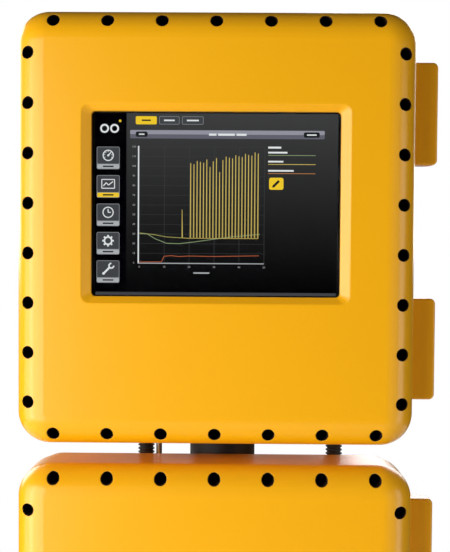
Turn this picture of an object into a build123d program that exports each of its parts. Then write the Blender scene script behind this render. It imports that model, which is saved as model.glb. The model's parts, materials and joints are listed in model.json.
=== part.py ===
from build123d import *

import os

# An online flash point analyser, built into two stacked, cast, flameproof enclosures.
# The upper one holds the controls and a screen, the lower one the measuring cell.
#
# Millimetres. X runs to the right, the doors face -Y and +Z is up. The origin is on the rear
# mounting plane, halfway between the two enclosures. "Forward" is a distance from that plane
# towards the viewer, so a point's Y is minus its forward distance.

# ---------------------------------------------------------------- the two enclosures
enclosure_spacing = 567.0
centre_height = {"upper": enclosure_spacing / 2, "lower": -enclosure_spacing / 2}

front_face = 270.0
joint_plane = 174.0
joint_gap = 0.3
flange_back = 148.0
housing_back = 30.0
wall = 12.0

door_half_width = 249.0
door_half_height = 270.5
door_corner = 41.0
door_edge_round = 37.0
door_front_wall = 16.0
rim_width = 31.0
cavity_corner = 22.0

flange_half_width = 243.0
flange_half_height = 269.5
flange_corner = 39.0
body_half_width = 219.0
body_half_height = 242.0
body_corner = 26.0
body_rear_round = 14.0
inner_corner = 16.0
seal_width = 4.0
seal_depth = 3.0
seal_half_width = 223.0
seal_half_height = 246.0

# ---------------------------------------------------------------- door screws
column_offset = 232.5
row_offset = 255.3
row_pitch = 67.0
column_pitch = 61.65
screw_bore_radius = 8.0
screw_seat = joint_plane + joint_gap + 25.0
screw_clearance_radius = 4.5
screw_radius = 4.0
screw_length = 40.0
screw_head_radius = 6.5
screw_head_height = 8.0
screw_socket_radius = 3.4
screw_travel = 15.5
tapped_radius = 4.05
tapped_depth = 18.0

# ---------------------------------------------------------------- hinges
hinge_offset = 152.3
hinge_length = 132.0
hinge_axis_x = 267.0
hinge_axis_forward = 158.0
hinge_outer_x = 285.0
hinge_front = 185.0
hinge_plate_back = 172.0
knuckle_radius = 13.0
knuckle_gap = 0.5
pin_radius = 6.0
pin_clearance = 0.05
fixed_plate_outer_x = 248.5
fixed_plate_span = (150.0, 170.0)
hinge_screw_offsets = (-47.0, -28.0, 28.0, 47.0)
hinge_screw_radius = 2.5
hinge_screw_head_radius = 4.25
hinge_counterbore_radius = 4.4
door_hinge_screw_forward = 177.5
frame_hinge_screw_forward = 160.0

# ---------------------------------------------------------------- window and display
window_width = 308.5
window_height = 228.6
window_rise = 30.5
window_corner = 5.5
bevel_side = 11.8
bevel_top = 8.5
bevel_depth = 7.0
glass_width = 350.0
glass_height = 276.0
glass_thickness = 12.0
glass_seal = 1.2
clamp_width = 390.0
clamp_height = 316.0
clamp_lip = 14.0
display_width = 326.0
display_height = 253.0
display_depth = 12.0
active_width = 304.1
active_height = 228.1

# ---------------------------------------------------------------- links between the enclosures
link_forward = 95.0
centre_conduit_x = 8.0
centre_conduit_radius = 44.45
centre_conduit_bore = 39.0
ribbed_conduit_x = (-97.0, 162.0)
ribbed_radius = 11.25
ribbed_valley_radius = 9.3
ribbed_bore = 7.5
rib_pitch = 5.0
instrument_tube_x = -79.5
instrument_tube_radius = 4.0
gland_thread_radius = 10.0
gland_nut_radius = 12.2
fitting_thread_radius = 5.0

# ---------------------------------------------------------------- rear mounting lugs
lug_x = 233.0
lug_rise = 190.0
lug_hole_radius = 7.0

# ---------------------------------------------------------------- inside both enclosures
plate_back = 62.0
plate_front = 65.0
plate_half_width = 190.0
plate_half_height = 210.0
standoff_x = 170.0
standoff_z = 190.0

# ---------------------------------------------------------------- measuring cell
cell_x = 60.0
cell_forward = 107.0
block_width = 90.0
block_depth = 84.0
block_top = 10.0
block_height = 90.0
cup_radius = 25.4
cup_depth = 52.0
cup_wall = 2.6
cup_flange_radius = 33.0
cup_flange = 3.0
lid_gap = 0.3
lid_thickness = 8.0
post_radius = 5.0
post_offset = 32.0
post_top = 130.0
shaft_radius = 2.0
running_clearance = 0.05

# ---------------------------------------------------------------- sample system
port_x = {"inlet": -150.0, "return": -105.0, "vent": -60.0, "drain": 60.0}
cable_entry_x = 130.0
flow_forward = 90.0
sample_tube_radius = 3.0
sample_tube_bore = 2.0
port_thread_radius = 5.7
cable_bore_radius = 6.5
entry_thread_radius = 12.0

os.makedirs("parts", exist_ok=True)


def facing(forward, x=0.0, height=0.0):
    """A plane that faces the front, with its origin at a forward distance."""
    return Plane(origin=(x, -forward, height), x_dir=(1, 0, 0), z_dir=(0, -1, 0))


def level(height, x=0.0, forward=0.0):
    """A plane that faces up, with its origin at a height."""
    return Plane(origin=(x, -forward, height), x_dir=(1, 0, 0), z_dir=(0, 0, 1))


def add_block(x_span, forward_span, height_span, mode=Mode.ADD):
    """A box between two limits in width, forward distance and height."""
    middle = (sum(x_span) / 2, -sum(forward_span) / 2, sum(height_span) / 2)
    with Locations(middle):
        Box(
            x_span[1] - x_span[0],
            forward_span[1] - forward_span[0],
            height_span[1] - height_span[0],
            mode=mode,
        )


def add_rod(start, end, radius, mode=Mode.ADD):
    """A cylinder whose axis runs from one point to another, each as x, forward, height."""
    first = Vector(start[0], -start[1], start[2])
    last = Vector(end[0], -end[1], end[2])
    run = last - first
    with Locations(Plane(origin=first, z_dir=run.normalized())):
        Cylinder(radius, run.length, align=(Align.CENTER, Align.CENTER, Align.MIN), mode=mode)


def add_outline(forward, height, half_width, half_height, corner, amount, mode=Mode.ADD):
    """A rounded rectangle that faces the front, extruded forward by an amount."""
    with BuildSketch(facing(forward, height=height)) as outline:
        RectangleRounded(2 * half_width, 2 * half_height, corner)
    extrude(outline.sketch, amount=amount, mode=mode)


def screw_axes():
    """The thirty screw positions of a door, from its centre."""
    rows = [(step * row_pitch, side * row_offset) for side in (-1, 1) for step in range(-3, 4)]
    heights = [(step + 0.5) * column_pitch for step in range(-4, 4)]
    columns = [(side * column_offset, height) for side in (-1, 1) for height in heights]
    return rows + columns


def hinge_heights(name):
    """The heights of the middles of one enclosure's two hinges."""
    return [centre_height[name] + side * hinge_offset for side in (-1, 1)]


# ================================================================ housings and their seals
def build_housing(name, wall_bores):
    """A cast box with a wide flange, tapped for the door screws.

    Each wall bore is x, forward, the two heights that it runs between, and its radius.
    """
    middle = centre_height[name]
    with BuildPart() as housing:
        add_outline(housing_back, middle, body_half_width, body_half_height, body_corner,
                    flange_back - housing_back)
        fillet(housing.faces().sort_by(Axis.Y)[-1].edges(), body_rear_round)
        add_outline(flange_back, middle, flange_half_width, flange_half_height, flange_corner,
                    joint_plane - flange_back)
        add_outline(housing_back + wall, middle, body_half_width - wall, body_half_height - wall,
                    inner_corner, joint_plane - housing_back - wall, Mode.SUBTRACT)
        with BuildSketch(facing(joint_plane, height=middle)):
            RectangleRounded(2 * seal_half_width + seal_width, 2 * seal_half_height + seal_width,
                             cavity_corner + seal_width / 2)
            RectangleRounded(2 * seal_half_width - seal_width, 2 * seal_half_height - seal_width,
                             cavity_corner - seal_width / 2, mode=Mode.SUBTRACT)
        extrude(amount=-seal_depth, mode=Mode.SUBTRACT)
        with BuildSketch(facing(joint_plane, height=middle)):
            with Locations(*screw_axes()):
                Circle(tapped_radius)
        extrude(amount=-tapped_depth, mode=Mode.SUBTRACT)
        for height in hinge_heights(name):
            for offset in hinge_screw_offsets:
                add_rod((flange_half_width - 16, frame_hinge_screw_forward, height + offset),
                        (flange_half_width, frame_hinge_screw_forward, height + offset),
                        hinge_screw_radius, Mode.SUBTRACT)
        for x, lug_height in lug_positions(name):
            for screw_x, screw_height in lug_screw_axes(x, lug_height):
                add_rod((screw_x, housing_back, screw_height),
                        (screw_x, housing_back + 9, screw_height), 4.0, Mode.SUBTRACT)
        for x, forward, low, high, radius in wall_bores:
            add_rod((x, forward, low), (x, forward, high), radius, Mode.SUBTRACT)
    housing.part.label = f"{name}_housing"
    export_step(housing.part, f"parts/{name}_housing.step")


def build_seal(name):
    """The round-topped seal in the groove of a housing's flange."""
    proud_gap = 0.1
    with BuildPart() as seal:
        with BuildSketch(facing(joint_plane - seal_depth, height=centre_height[name])):
            RectangleRounded(2 * seal_half_width + seal_width, 2 * seal_half_height + seal_width,
                             cavity_corner + seal_width / 2)
            RectangleRounded(2 * seal_half_width - seal_width, 2 * seal_half_height - seal_width,
                             cavity_corner - seal_width / 2, mode=Mode.SUBTRACT)
        extrude(amount=seal_depth - proud_gap)
        fillet(seal.faces().sort_by(Axis.Y)[0].edges(), 1.2)
    seal.part.label = f"{name}_housing_seal"
    export_step(seal.part, f"parts/{name}_housing_seal.step")


# ================================================================ rear lugs
def lug_positions(name):
    """The x and height of the four lug holes behind one enclosure."""
    return [(side * lug_x, centre_height[name] + rise) for side in (-1, 1)
            for rise in (-lug_rise, lug_rise)]


def lug_screw_axes(x, height):
    """The two screws that hold the lug with its hole at x and a height."""
    inward = 183.0 if x > 0 else -183.0
    return [(inward, height - 12), (inward, height + 12)]


def build_lugs():
    """Eight lugs: a riser under the housing's back and a foot with the mounting hole."""
    riser = (168.0, 198.0)
    foot_outer = 248.0
    foot_thickness = 12.0
    half_height = 24.0
    with BuildPart() as lugs:
        for name in centre_height:
            for x, height in lug_positions(name):
                side = 1 if x > 0 else -1
                rise_span = (height - half_height, height + half_height)
                add_block(sorted((side * riser[0], side * riser[1])), (0, housing_back), rise_span)
                add_block(sorted((side * riser[0], side * foot_outer)), (0, foot_thickness), rise_span)
                add_rod((x, 0, height), (x, foot_thickness, height), lug_hole_radius, Mode.SUBTRACT)
                for screw_x, screw_height in lug_screw_axes(x, height):
                    add_rod((screw_x, 0, screw_height), (screw_x, 10, screw_height), 7.0,
                            Mode.SUBTRACT)
                    add_rod((screw_x, 0, screw_height), (screw_x, housing_back, screw_height), 4.2,
                            Mode.SUBTRACT)
        foot_corners = [edge for edge in lugs.edges().filter_by(Axis.Y)
                        if abs(abs(edge.center().X) - foot_outer) < 0.1]
        fillet(foot_corners, 8)
    lugs.part.label = "mounting_lugs"
    export_step(lugs.part, "parts/mounting_lugs.step")


# ================================================================ hinges
def build_frame_hinges(name):
    """The fixed leaves: a plate on the flange's side and the middle knuckle on an arm."""
    with BuildPart() as leaves:
        for height in hinge_heights(name):
            bottom = height - hinge_length / 2
            add_block((flange_half_width, fixed_plate_outer_x), fixed_plate_span,
                      (bottom, bottom + hinge_length))
            knuckle_low = height - hinge_length / 6 + knuckle_gap / 2
            knuckle_high = height + hinge_length / 6 - knuckle_gap / 2
            add_block((flange_half_width, hinge_axis_x), (fixed_plate_span[0], hinge_axis_forward + 9),
                      (knuckle_low, knuckle_high))
            add_rod((hinge_axis_x, hinge_axis_forward, knuckle_low),
                    (hinge_axis_x, hinge_axis_forward, knuckle_high), knuckle_radius)
            add_rod((hinge_axis_x, hinge_axis_forward, knuckle_low),
                    (hinge_axis_x, hinge_axis_forward, knuckle_high), pin_radius + pin_clearance,
                    Mode.SUBTRACT)
            for offset in hinge_screw_offsets:
                axis_height = height + offset
                add_rod((flange_half_width, frame_hinge_screw_forward, axis_height),
                        (fixed_plate_outer_x, frame_hinge_screw_forward, axis_height),
                        hinge_screw_radius + 0.2, Mode.SUBTRACT)
                add_rod((fixed_plate_outer_x - 3.2, frame_hinge_screw_forward, axis_height),
                        (fixed_plate_outer_x, frame_hinge_screw_forward, axis_height),
                        hinge_counterbore_radius, Mode.SUBTRACT)
    leaves.part.label = f"{name}_hinge_frame_leaves"
    export_step(leaves.part, f"parts/{name}_hinge_frame_leaves.step")


def build_housing_screws():
    """Low-head screws of the fixed hinge leaves, and the screws of the rear lugs."""
    head_seat = fixed_plate_outer_x - 3.2
    head_top = fixed_plate_outer_x - 0.2
    forward = frame_hinge_screw_forward
    with BuildPart() as screws:
        for name in centre_height:
            for hinge_height in hinge_heights(name):
                for offset in hinge_screw_offsets:
                    height = hinge_height + offset
                    add_rod((flange_half_width - 16, forward, height), (head_seat, forward, height),
                            hinge_screw_radius)
                    add_rod((head_seat, forward, height), (head_top, forward, height),
                            hinge_screw_head_radius)
                    add_rod((head_top - 2, forward, height), (head_top, forward, height), 1.9,
                            Mode.SUBTRACT)
            for lug_hole_x, lug_height in lug_positions(name):
                for x, height in lug_screw_axes(lug_hole_x, lug_height):
                    add_rod((x, 2, height), (x, 10, height), 6.5)
                    add_rod((x, 10, height), (x, housing_back + 9, height), 4.0)
                    add_rod((x, 2, height), (x, 6, height), 3.0, Mode.SUBTRACT)
    screws.part.label = "housing_screws"
    export_step(screws.part, "parts/housing_screws.step")


def build_door_hinges(name):
    """The moving leaves: a thick rounded block on the door's side, with two knuckles behind it."""
    counterbore = 5.5
    with BuildPart() as leaves:
        for height in hinge_heights(name):
            bottom = height - hinge_length / 2
            top = height + hinge_length / 2
            add_block((door_half_width, hinge_outer_x), (hinge_plate_back, hinge_front), (bottom, top))
        corners = [edge for edge in leaves.edges().filter_by(Axis.Y)
                   if abs(edge.center().X - hinge_outer_x) < 0.1]
        fillet(corners, 7)
        front_rim = [edge for edge in leaves.edges()
                     if abs(edge.center().Y + hinge_front) < 0.1 and edge.center().X > door_half_width + 0.1]
        fillet(front_rim, 3)
        for height in hinge_heights(name):
            for side in (-1, 1):
                inner_end = height + side * (hinge_length / 6 + knuckle_gap / 2)
                outer_end = height + side * (hinge_length / 2 - 1)
                span = sorted((inner_end, outer_end))
                add_block((hinge_axis_x - knuckle_radius, hinge_axis_x + knuckle_radius),
                          (hinge_axis_forward, hinge_plate_back), span)
                add_rod((hinge_axis_x, hinge_axis_forward, span[0]),
                        (hinge_axis_x, hinge_axis_forward, span[1]), knuckle_radius)
                add_rod((hinge_axis_x, hinge_axis_forward, span[0]),
                        (hinge_axis_x, hinge_axis_forward, span[1]), pin_radius, Mode.SUBTRACT)
            for offset in hinge_screw_offsets:
                axis_height = height + offset
                add_rod((door_half_width, door_hinge_screw_forward, axis_height),
                        (hinge_outer_x, door_hinge_screw_forward, axis_height),
                        hinge_screw_radius + 0.2, Mode.SUBTRACT)
                add_rod((hinge_outer_x - counterbore, door_hinge_screw_forward, axis_height),
                        (hinge_outer_x, door_hinge_screw_forward, axis_height),
                        hinge_counterbore_radius, Mode.SUBTRACT)
    leaves.part.label = f"{name}_hinge_door_leaves"
    export_step(leaves.part, f"parts/{name}_hinge_door_leaves.step")

    with BuildPart() as screws:
        seat = hinge_outer_x - counterbore
        for height in hinge_heights(name):
            for offset in hinge_screw_offsets:
                axis_height = height + offset
                add_rod((door_half_width - 16, door_hinge_screw_forward, axis_height),
                        (seat, door_hinge_screw_forward, axis_height), hinge_screw_radius)
                add_rod((seat, door_hinge_screw_forward, axis_height),
                        (seat + 5, door_hinge_screw_forward, axis_height), hinge_screw_head_radius)
                add_rod((seat + 2.5, door_hinge_screw_forward, axis_height),
                        (seat + 5, door_hinge_screw_forward, axis_height), 2.3, Mode.SUBTRACT)
    screws.part.label = f"{name}_door_hinge_screws"
    export_step(screws.part, f"parts/{name}_door_hinge_screws.step")

    with BuildPart() as pins:
        for height in hinge_heights(name):
            add_rod((hinge_axis_x, hinge_axis_forward, height - hinge_length / 2 + 1),
                    (hinge_axis_x, hinge_axis_forward, height + hinge_length / 2 - 1), pin_radius)
        chamfer(pins.faces().filter_by(Axis.Z).edges(), 1)
    pins.part.label = f"{name}_hinge_pins"
    export_step(pins.part, f"parts/{name}_hinge_pins.step")


# ================================================================ doors
def build_door(name, has_window):
    """A deep cast cover with thirty access bores in its rim."""
    middle = centre_height[name]
    back = joint_plane + joint_gap
    inner_face = front_face - door_front_wall
    with BuildPart() as door:
        add_outline(back, middle, door_half_width, door_half_height, door_corner, front_face - back)
        fillet(door.faces().sort_by(Axis.Y)[0].edges(), door_edge_round)
        add_outline(back, middle, door_half_width - rim_width, door_half_height - rim_width,
                    cavity_corner, inner_face - back, Mode.SUBTRACT)
        with BuildSketch(facing(screw_seat, height=middle)):
            with Locations(*screw_axes()):
                Circle(screw_bore_radius)
        extrude(amount=front_face - screw_seat, mode=Mode.SUBTRACT)
        with BuildSketch(facing(back, height=middle)):
            with Locations(*screw_axes()):
                Circle(screw_clearance_radius)
        extrude(amount=screw_seat - back, mode=Mode.SUBTRACT)
        for height in hinge_heights(name):
            for offset in hinge_screw_offsets:
                add_rod((door_half_width - 16, door_hinge_screw_forward, height + offset),
                        (door_half_width, door_hinge_screw_forward, height + offset),
                        hinge_screw_radius, Mode.SUBTRACT)
        if has_window:
            window_height_at = middle + window_rise
            with BuildSketch(facing(front_face, height=window_height_at)):
                RectangleRounded(window_width + 2 * bevel_side, window_height + 2 * bevel_top, 11)
            with BuildSketch(facing(front_face - bevel_depth, height=window_height_at)):
                RectangleRounded(window_width, window_height, window_corner)
            loft(ruled=True, mode=Mode.SUBTRACT)
            add_outline(inner_face, window_height_at, window_width / 2, window_height / 2,
                        window_corner, door_front_wall - bevel_depth, Mode.SUBTRACT)
            bevel_rim = [edge for edge in door.edges()
                         if abs(edge.center().Y + front_face) < 0.01
                         and abs(edge.center().X) < glass_width / 2
                         and abs(edge.center().Z - window_height_at) < glass_height / 2]
            fillet(bevel_rim, 3)
            for x, height in clamp_screw_axes():
                add_rod((x, inner_face, height), (x, inner_face + 10, height), 3.0, Mode.SUBTRACT)
    door.part.label = f"{name}_door"
    export_step(door.part, f"parts/{name}_door.step")


def build_door_screws(name):
    """Thirty captive socket-head screws, backed off so that the door is free to swing."""
    seat = screw_seat + joint_gap + screw_travel
    tip = seat - screw_length
    with BuildPart() as screws:
        with BuildSketch(facing(tip, height=centre_height[name])):
            with Locations(*screw_axes()):
                Circle(screw_radius)
        extrude(amount=screw_length)
        with BuildSketch(facing(seat, height=centre_height[name])):
            with Locations(*screw_axes()):
                Circle(screw_head_radius)
        extrude(amount=screw_head_height)
        with BuildSketch(facing(seat + screw_head_height, height=centre_height[name])):
            with Locations(*screw_axes()):
                RegularPolygon(screw_socket_radius, 6)
        extrude(amount=-screw_head_height / 2, mode=Mode.SUBTRACT)
    screws.part.label = f"{name}_door_screws"
    export_step(screws.part, f"parts/{name}_door_screws.step")


# ================================================================ window and display
def clamp_screw_axes():
    """The screws round the window's clamp frame, as x and height."""
    middle = centre_height["upper"] + window_rise
    half_width = (clamp_width + glass_width) / 4
    half_height = (clamp_height + glass_height) / 4
    rows = [(step * half_width / 2, side * half_height) for side in (-1, 1) for step in range(-2, 3)]
    columns = [(side * half_width, step * half_height / 2) for side in (-1, 1) for step in (-1, 0, 1)]
    return [(x, middle + rise) for x, rise in rows + columns]


def build_window():
    """The flameproof window and the display behind it, carried by the upper door."""
    middle = centre_height["upper"] + window_rise
    inner_face = front_face - door_front_wall
    glass_front = inner_face - glass_seal
    glass_back = glass_front - glass_thickness
    clamp_back = glass_back - clamp_lip

    with BuildPart() as seal:
        add_outline(glass_front, middle, glass_width / 2, glass_height / 2, 6, glass_seal)
        add_outline(glass_front, middle, window_width / 2 + 3, window_height / 2 + 3, 6, glass_seal,
                    Mode.SUBTRACT)
    seal.part.label = "window_seal"
    export_step(seal.part, "parts/window_seal.step")

    with BuildPart() as glass:
        add_outline(glass_back, middle, glass_width / 2, glass_height / 2, 6, glass_thickness)
        chamfer(glass.faces().filter_by(Axis.Y).edges(), 0.8)
    glass.part.label = "window_glass"
    export_step(glass.part, "parts/window_glass.step")

    pocket_gap = 1.0
    with BuildPart() as clamp:
        add_outline(clamp_back, middle, clamp_width / 2, clamp_height / 2, 12, inner_face - clamp_back)
        add_outline(glass_back, middle, glass_width / 2 + pocket_gap, glass_height / 2 + pocket_gap, 7,
                    inner_face - glass_back, Mode.SUBTRACT)
        add_outline(clamp_back, middle, display_width / 2 + 2, display_height / 2 + 1.5, 4, clamp_lip,
                    Mode.SUBTRACT)
        for x, height in clamp_screw_axes():
            add_rod((x, clamp_back, height), (x, inner_face, height), 3.2, Mode.SUBTRACT)
    clamp.part.label = "window_clamp_frame"
    export_step(clamp.part, "parts/window_clamp_frame.step")

    with BuildPart() as clamp_screws:
        for x, height in clamp_screw_axes():
            add_rod((x, clamp_back, height), (x, inner_face + 10, height), 3.0)
            add_rod((x, clamp_back - 6, height), (x, clamp_back, height), 5.0)
            add_rod((x, clamp_back - 6, height), (x, clamp_back - 3, height), 2.6, Mode.SUBTRACT)
    clamp_screws.part.label = "window_clamp_screws"
    export_step(clamp_screws.part, "parts/window_clamp_screws.step")

    air_gap = 0.5
    display_front = glass_back - air_gap
    bezel_step = 0.8
    with BuildPart() as display:
        add_outline(display_front - display_depth, middle, display_width / 2, display_height / 2, 1.5,
                    display_depth)
        add_outline(display_front - bezel_step, middle, active_width / 2, active_height / 2, 0.5,
                    bezel_step, Mode.SUBTRACT)
    display.part.label = "display_module"
    export_step(display.part, "parts/display_module.step")

    strap_front = display_front - display_depth
    strap_x = 120.0
    strap_reach = display_height / 2 + 0.5
    foot_reach = display_height / 2 + 12
    with BuildPart() as bracket:
        for side in (-1, 1):
            strap = sorted((side * (strap_x - 18), side * (strap_x + 18)))
            add_block(strap, (strap_front - 3, strap_front), (middle - strap_reach, middle + strap_reach))
            for end in (-1, 1):
                foot = sorted((middle + end * (strap_reach - 8), middle + end * foot_reach))
                add_block(strap, (clamp_back - 3, clamp_back), foot)
        add_block((-strap_x + 18, strap_x - 18), (strap_front - 3, strap_front - 1),
                  (middle - 60, middle + 60))
    bracket.part.label = "display_bracket"
    export_step(bracket.part, "parts/display_bracket.step")


# ================================================================ links between the enclosures
wall_outside = enclosure_spacing / 2 - body_half_height
wall_inside = wall_outside + wall


def build_links():
    """Two ribbed conduits, a smooth centre conduit and a thin tube, with their end fittings."""
    with BuildPart() as centre_conduit:
        end = wall_inside + 14
        add_rod((centre_conduit_x, link_forward, -end), (centre_conduit_x, link_forward, end),
                centre_conduit_radius)
        add_rod((centre_conduit_x, link_forward, -end), (centre_conduit_x, link_forward, end),
                centre_conduit_bore, Mode.SUBTRACT)
    centre_conduit.part.label = "centre_conduit"
    export_step(centre_conduit.part, "parts/centre_conduit.step")

    with BuildPart() as collars:
        for side in (-1, 1):
            for near, far, radius in ((wall_outside - 9, wall_outside, 51.0),
                                      (wall_inside, wall_inside + 10, 52.0)):
                low, high = sorted((side * near, side * far))
                add_rod((centre_conduit_x, link_forward, low), (centre_conduit_x, link_forward, high),
                        radius)
                add_rod((centre_conduit_x, link_forward, low), (centre_conduit_x, link_forward, high),
                        centre_conduit_radius, Mode.SUBTRACT)
        inner_rims = collars.faces().filter_by(Axis.Z).group_by(Axis.Z)
        chamfer(inner_rims[0].edges().filter_by(lambda edge: edge.radius > 50), 2)
        chamfer(inner_rims[-1].edges().filter_by(lambda edge: edge.radius > 50), 2)
    collars.part.label = "centre_conduit_collars"
    export_step(collars.part, "parts/centre_conduit_collars.step")

    gland_length = 12.0
    half_length = wall_outside - gland_length
    rib_count = int(2 * half_length / rib_pitch)
    start = -rib_count * rib_pitch / 2
    profile = [(ribbed_bore, -half_length), (ribbed_valley_radius, -half_length)]
    for rib in range(rib_count):
        low = start + rib * rib_pitch
        profile.append((ribbed_valley_radius, low + 0.15 * rib_pitch))
        profile.append((ribbed_radius, low + 0.35 * rib_pitch))
        profile.append((ribbed_radius, low + 0.65 * rib_pitch))
        profile.append((ribbed_valley_radius, low + 0.85 * rib_pitch))
    profile += [(ribbed_valley_radius, half_length), (ribbed_bore, half_length)]
    with BuildPart() as ribbed:
        for conduit_x in ribbed_conduit_x:
            with BuildSketch(facing(link_forward, x=conduit_x)):
                with BuildLine():
                    Polyline(*profile, close=True)
                make_face()
            revolve(axis=Axis((conduit_x, -link_forward, 0), (0, 0, 1)))
    ribbed.part.label = "ribbed_conduits"
    export_step(ribbed.part, "parts/ribbed_conduits.step")

    with BuildPart() as glands:
        for conduit_x in ribbed_conduit_x:
            for side in (-1, 1):
                near = wall_outside - gland_length
                low = min(side * near, side * wall_outside)
                with BuildSketch(level(low, conduit_x, link_forward)):
                    RegularPolygon(gland_nut_radius, 6)
                extrude(amount=gland_length)
                low, high = sorted((side * wall_outside, side * (wall_inside + 10)))
                add_rod((conduit_x, link_forward, low), (conduit_x, link_forward, high),
                        gland_thread_radius)
                low, high = sorted((side * wall_inside, side * (wall_inside + 6)))
                add_rod((conduit_x, link_forward, low), (conduit_x, link_forward, high),
                        gland_nut_radius)
                low, high = sorted((side * near, side * (wall_inside + 10)))
                add_rod((conduit_x, link_forward, low), (conduit_x, link_forward, high), ribbed_bore,
                        Mode.SUBTRACT)
    glands.part.label = "conduit_glands"
    export_step(glands.part, "parts/conduit_glands.step")

    tube_end = wall_inside + 30
    with BuildPart() as tube:
        add_rod((instrument_tube_x, link_forward, -tube_end), (instrument_tube_x, link_forward, tube_end),
                instrument_tube_radius)
        add_rod((instrument_tube_x, link_forward, -tube_end), (instrument_tube_x, link_forward, tube_end),
                instrument_tube_radius - 1, Mode.SUBTRACT)
    tube.part.label = "instrument_tube"
    export_step(tube.part, "parts/instrument_tube.step")

    with BuildPart() as fittings:
        for side in (-1, 1):
            low, high = sorted((side * (wall_outside - 12), side * (wall_inside + 16)))
            add_rod((instrument_tube_x, link_forward, low), (instrument_tube_x, link_forward, high),
                    fitting_thread_radius)
            add_rod((instrument_tube_x, link_forward, low), (instrument_tube_x, link_forward, high),
                    instrument_tube_radius, Mode.SUBTRACT)
    fittings.part.label = "instrument_tube_fittings"
    export_step(fittings.part, "parts/instrument_tube_fittings.step")


# ================================================================ inside the upper enclosure
board_back = 80.0
board_thickness = 1.6
board_x = (-150.0, 80.0)
board_rise = (-10.0, 160.0)
heat_sink_x = (-60.0, 10.0)
heat_sink_rise = (50.0, 110.0)


def build_mounting_plate(name):
    """A steel plate that carries the equipment, with slots to lighten it."""
    middle = centre_height[name]
    with BuildPart() as plate:
        add_outline(plate_back, middle, plate_half_width, plate_half_height, 8, plate_front - plate_back)
        with BuildSketch(facing(plate_back, height=middle)):
            with Locations(*[(x, z) for x in (-standoff_x, standoff_x) for z in (-standoff_z, standoff_z)]):
                Circle(2.6)
            with Locations((-standoff_x + 4, 0), (standoff_x - 4, 0)):
                SlotOverall(120, 9, rotation=90)
        extrude(amount=plate_front - plate_back, mode=Mode.SUBTRACT)
    plate.part.label = f"{name}_mounting_plate"
    export_step(plate.part, f"parts/{name}_mounting_plate.step")


def build_standoffs():
    """Round stand-offs under both mounting plates and under the controller board."""
    with BuildPart() as standoffs:
        for middle in centre_height.values():
            for x in (-standoff_x, standoff_x):
                for rise in (-standoff_z, standoff_z):
                    add_rod((x, housing_back + wall, middle + rise), (x, plate_back, middle + rise), 7)
                    add_rod((x, plate_back, middle + rise), (x, plate_front + 1, middle + rise), 2.6)
                    add_rod((x, plate_front, middle + rise), (x, plate_front + 4, middle + rise), 5)
        for x in (board_x[0] + 6, board_x[1] - 6):
            for rise in (board_rise[0] + 6, board_rise[1] - 6):
                height = centre_height["upper"] + rise
                add_rod((x, plate_front, height), (x, board_back, height), 3.5)
    standoffs.part.label = "standoffs"
    export_step(standoffs.part, "parts/standoffs.step")


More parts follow.
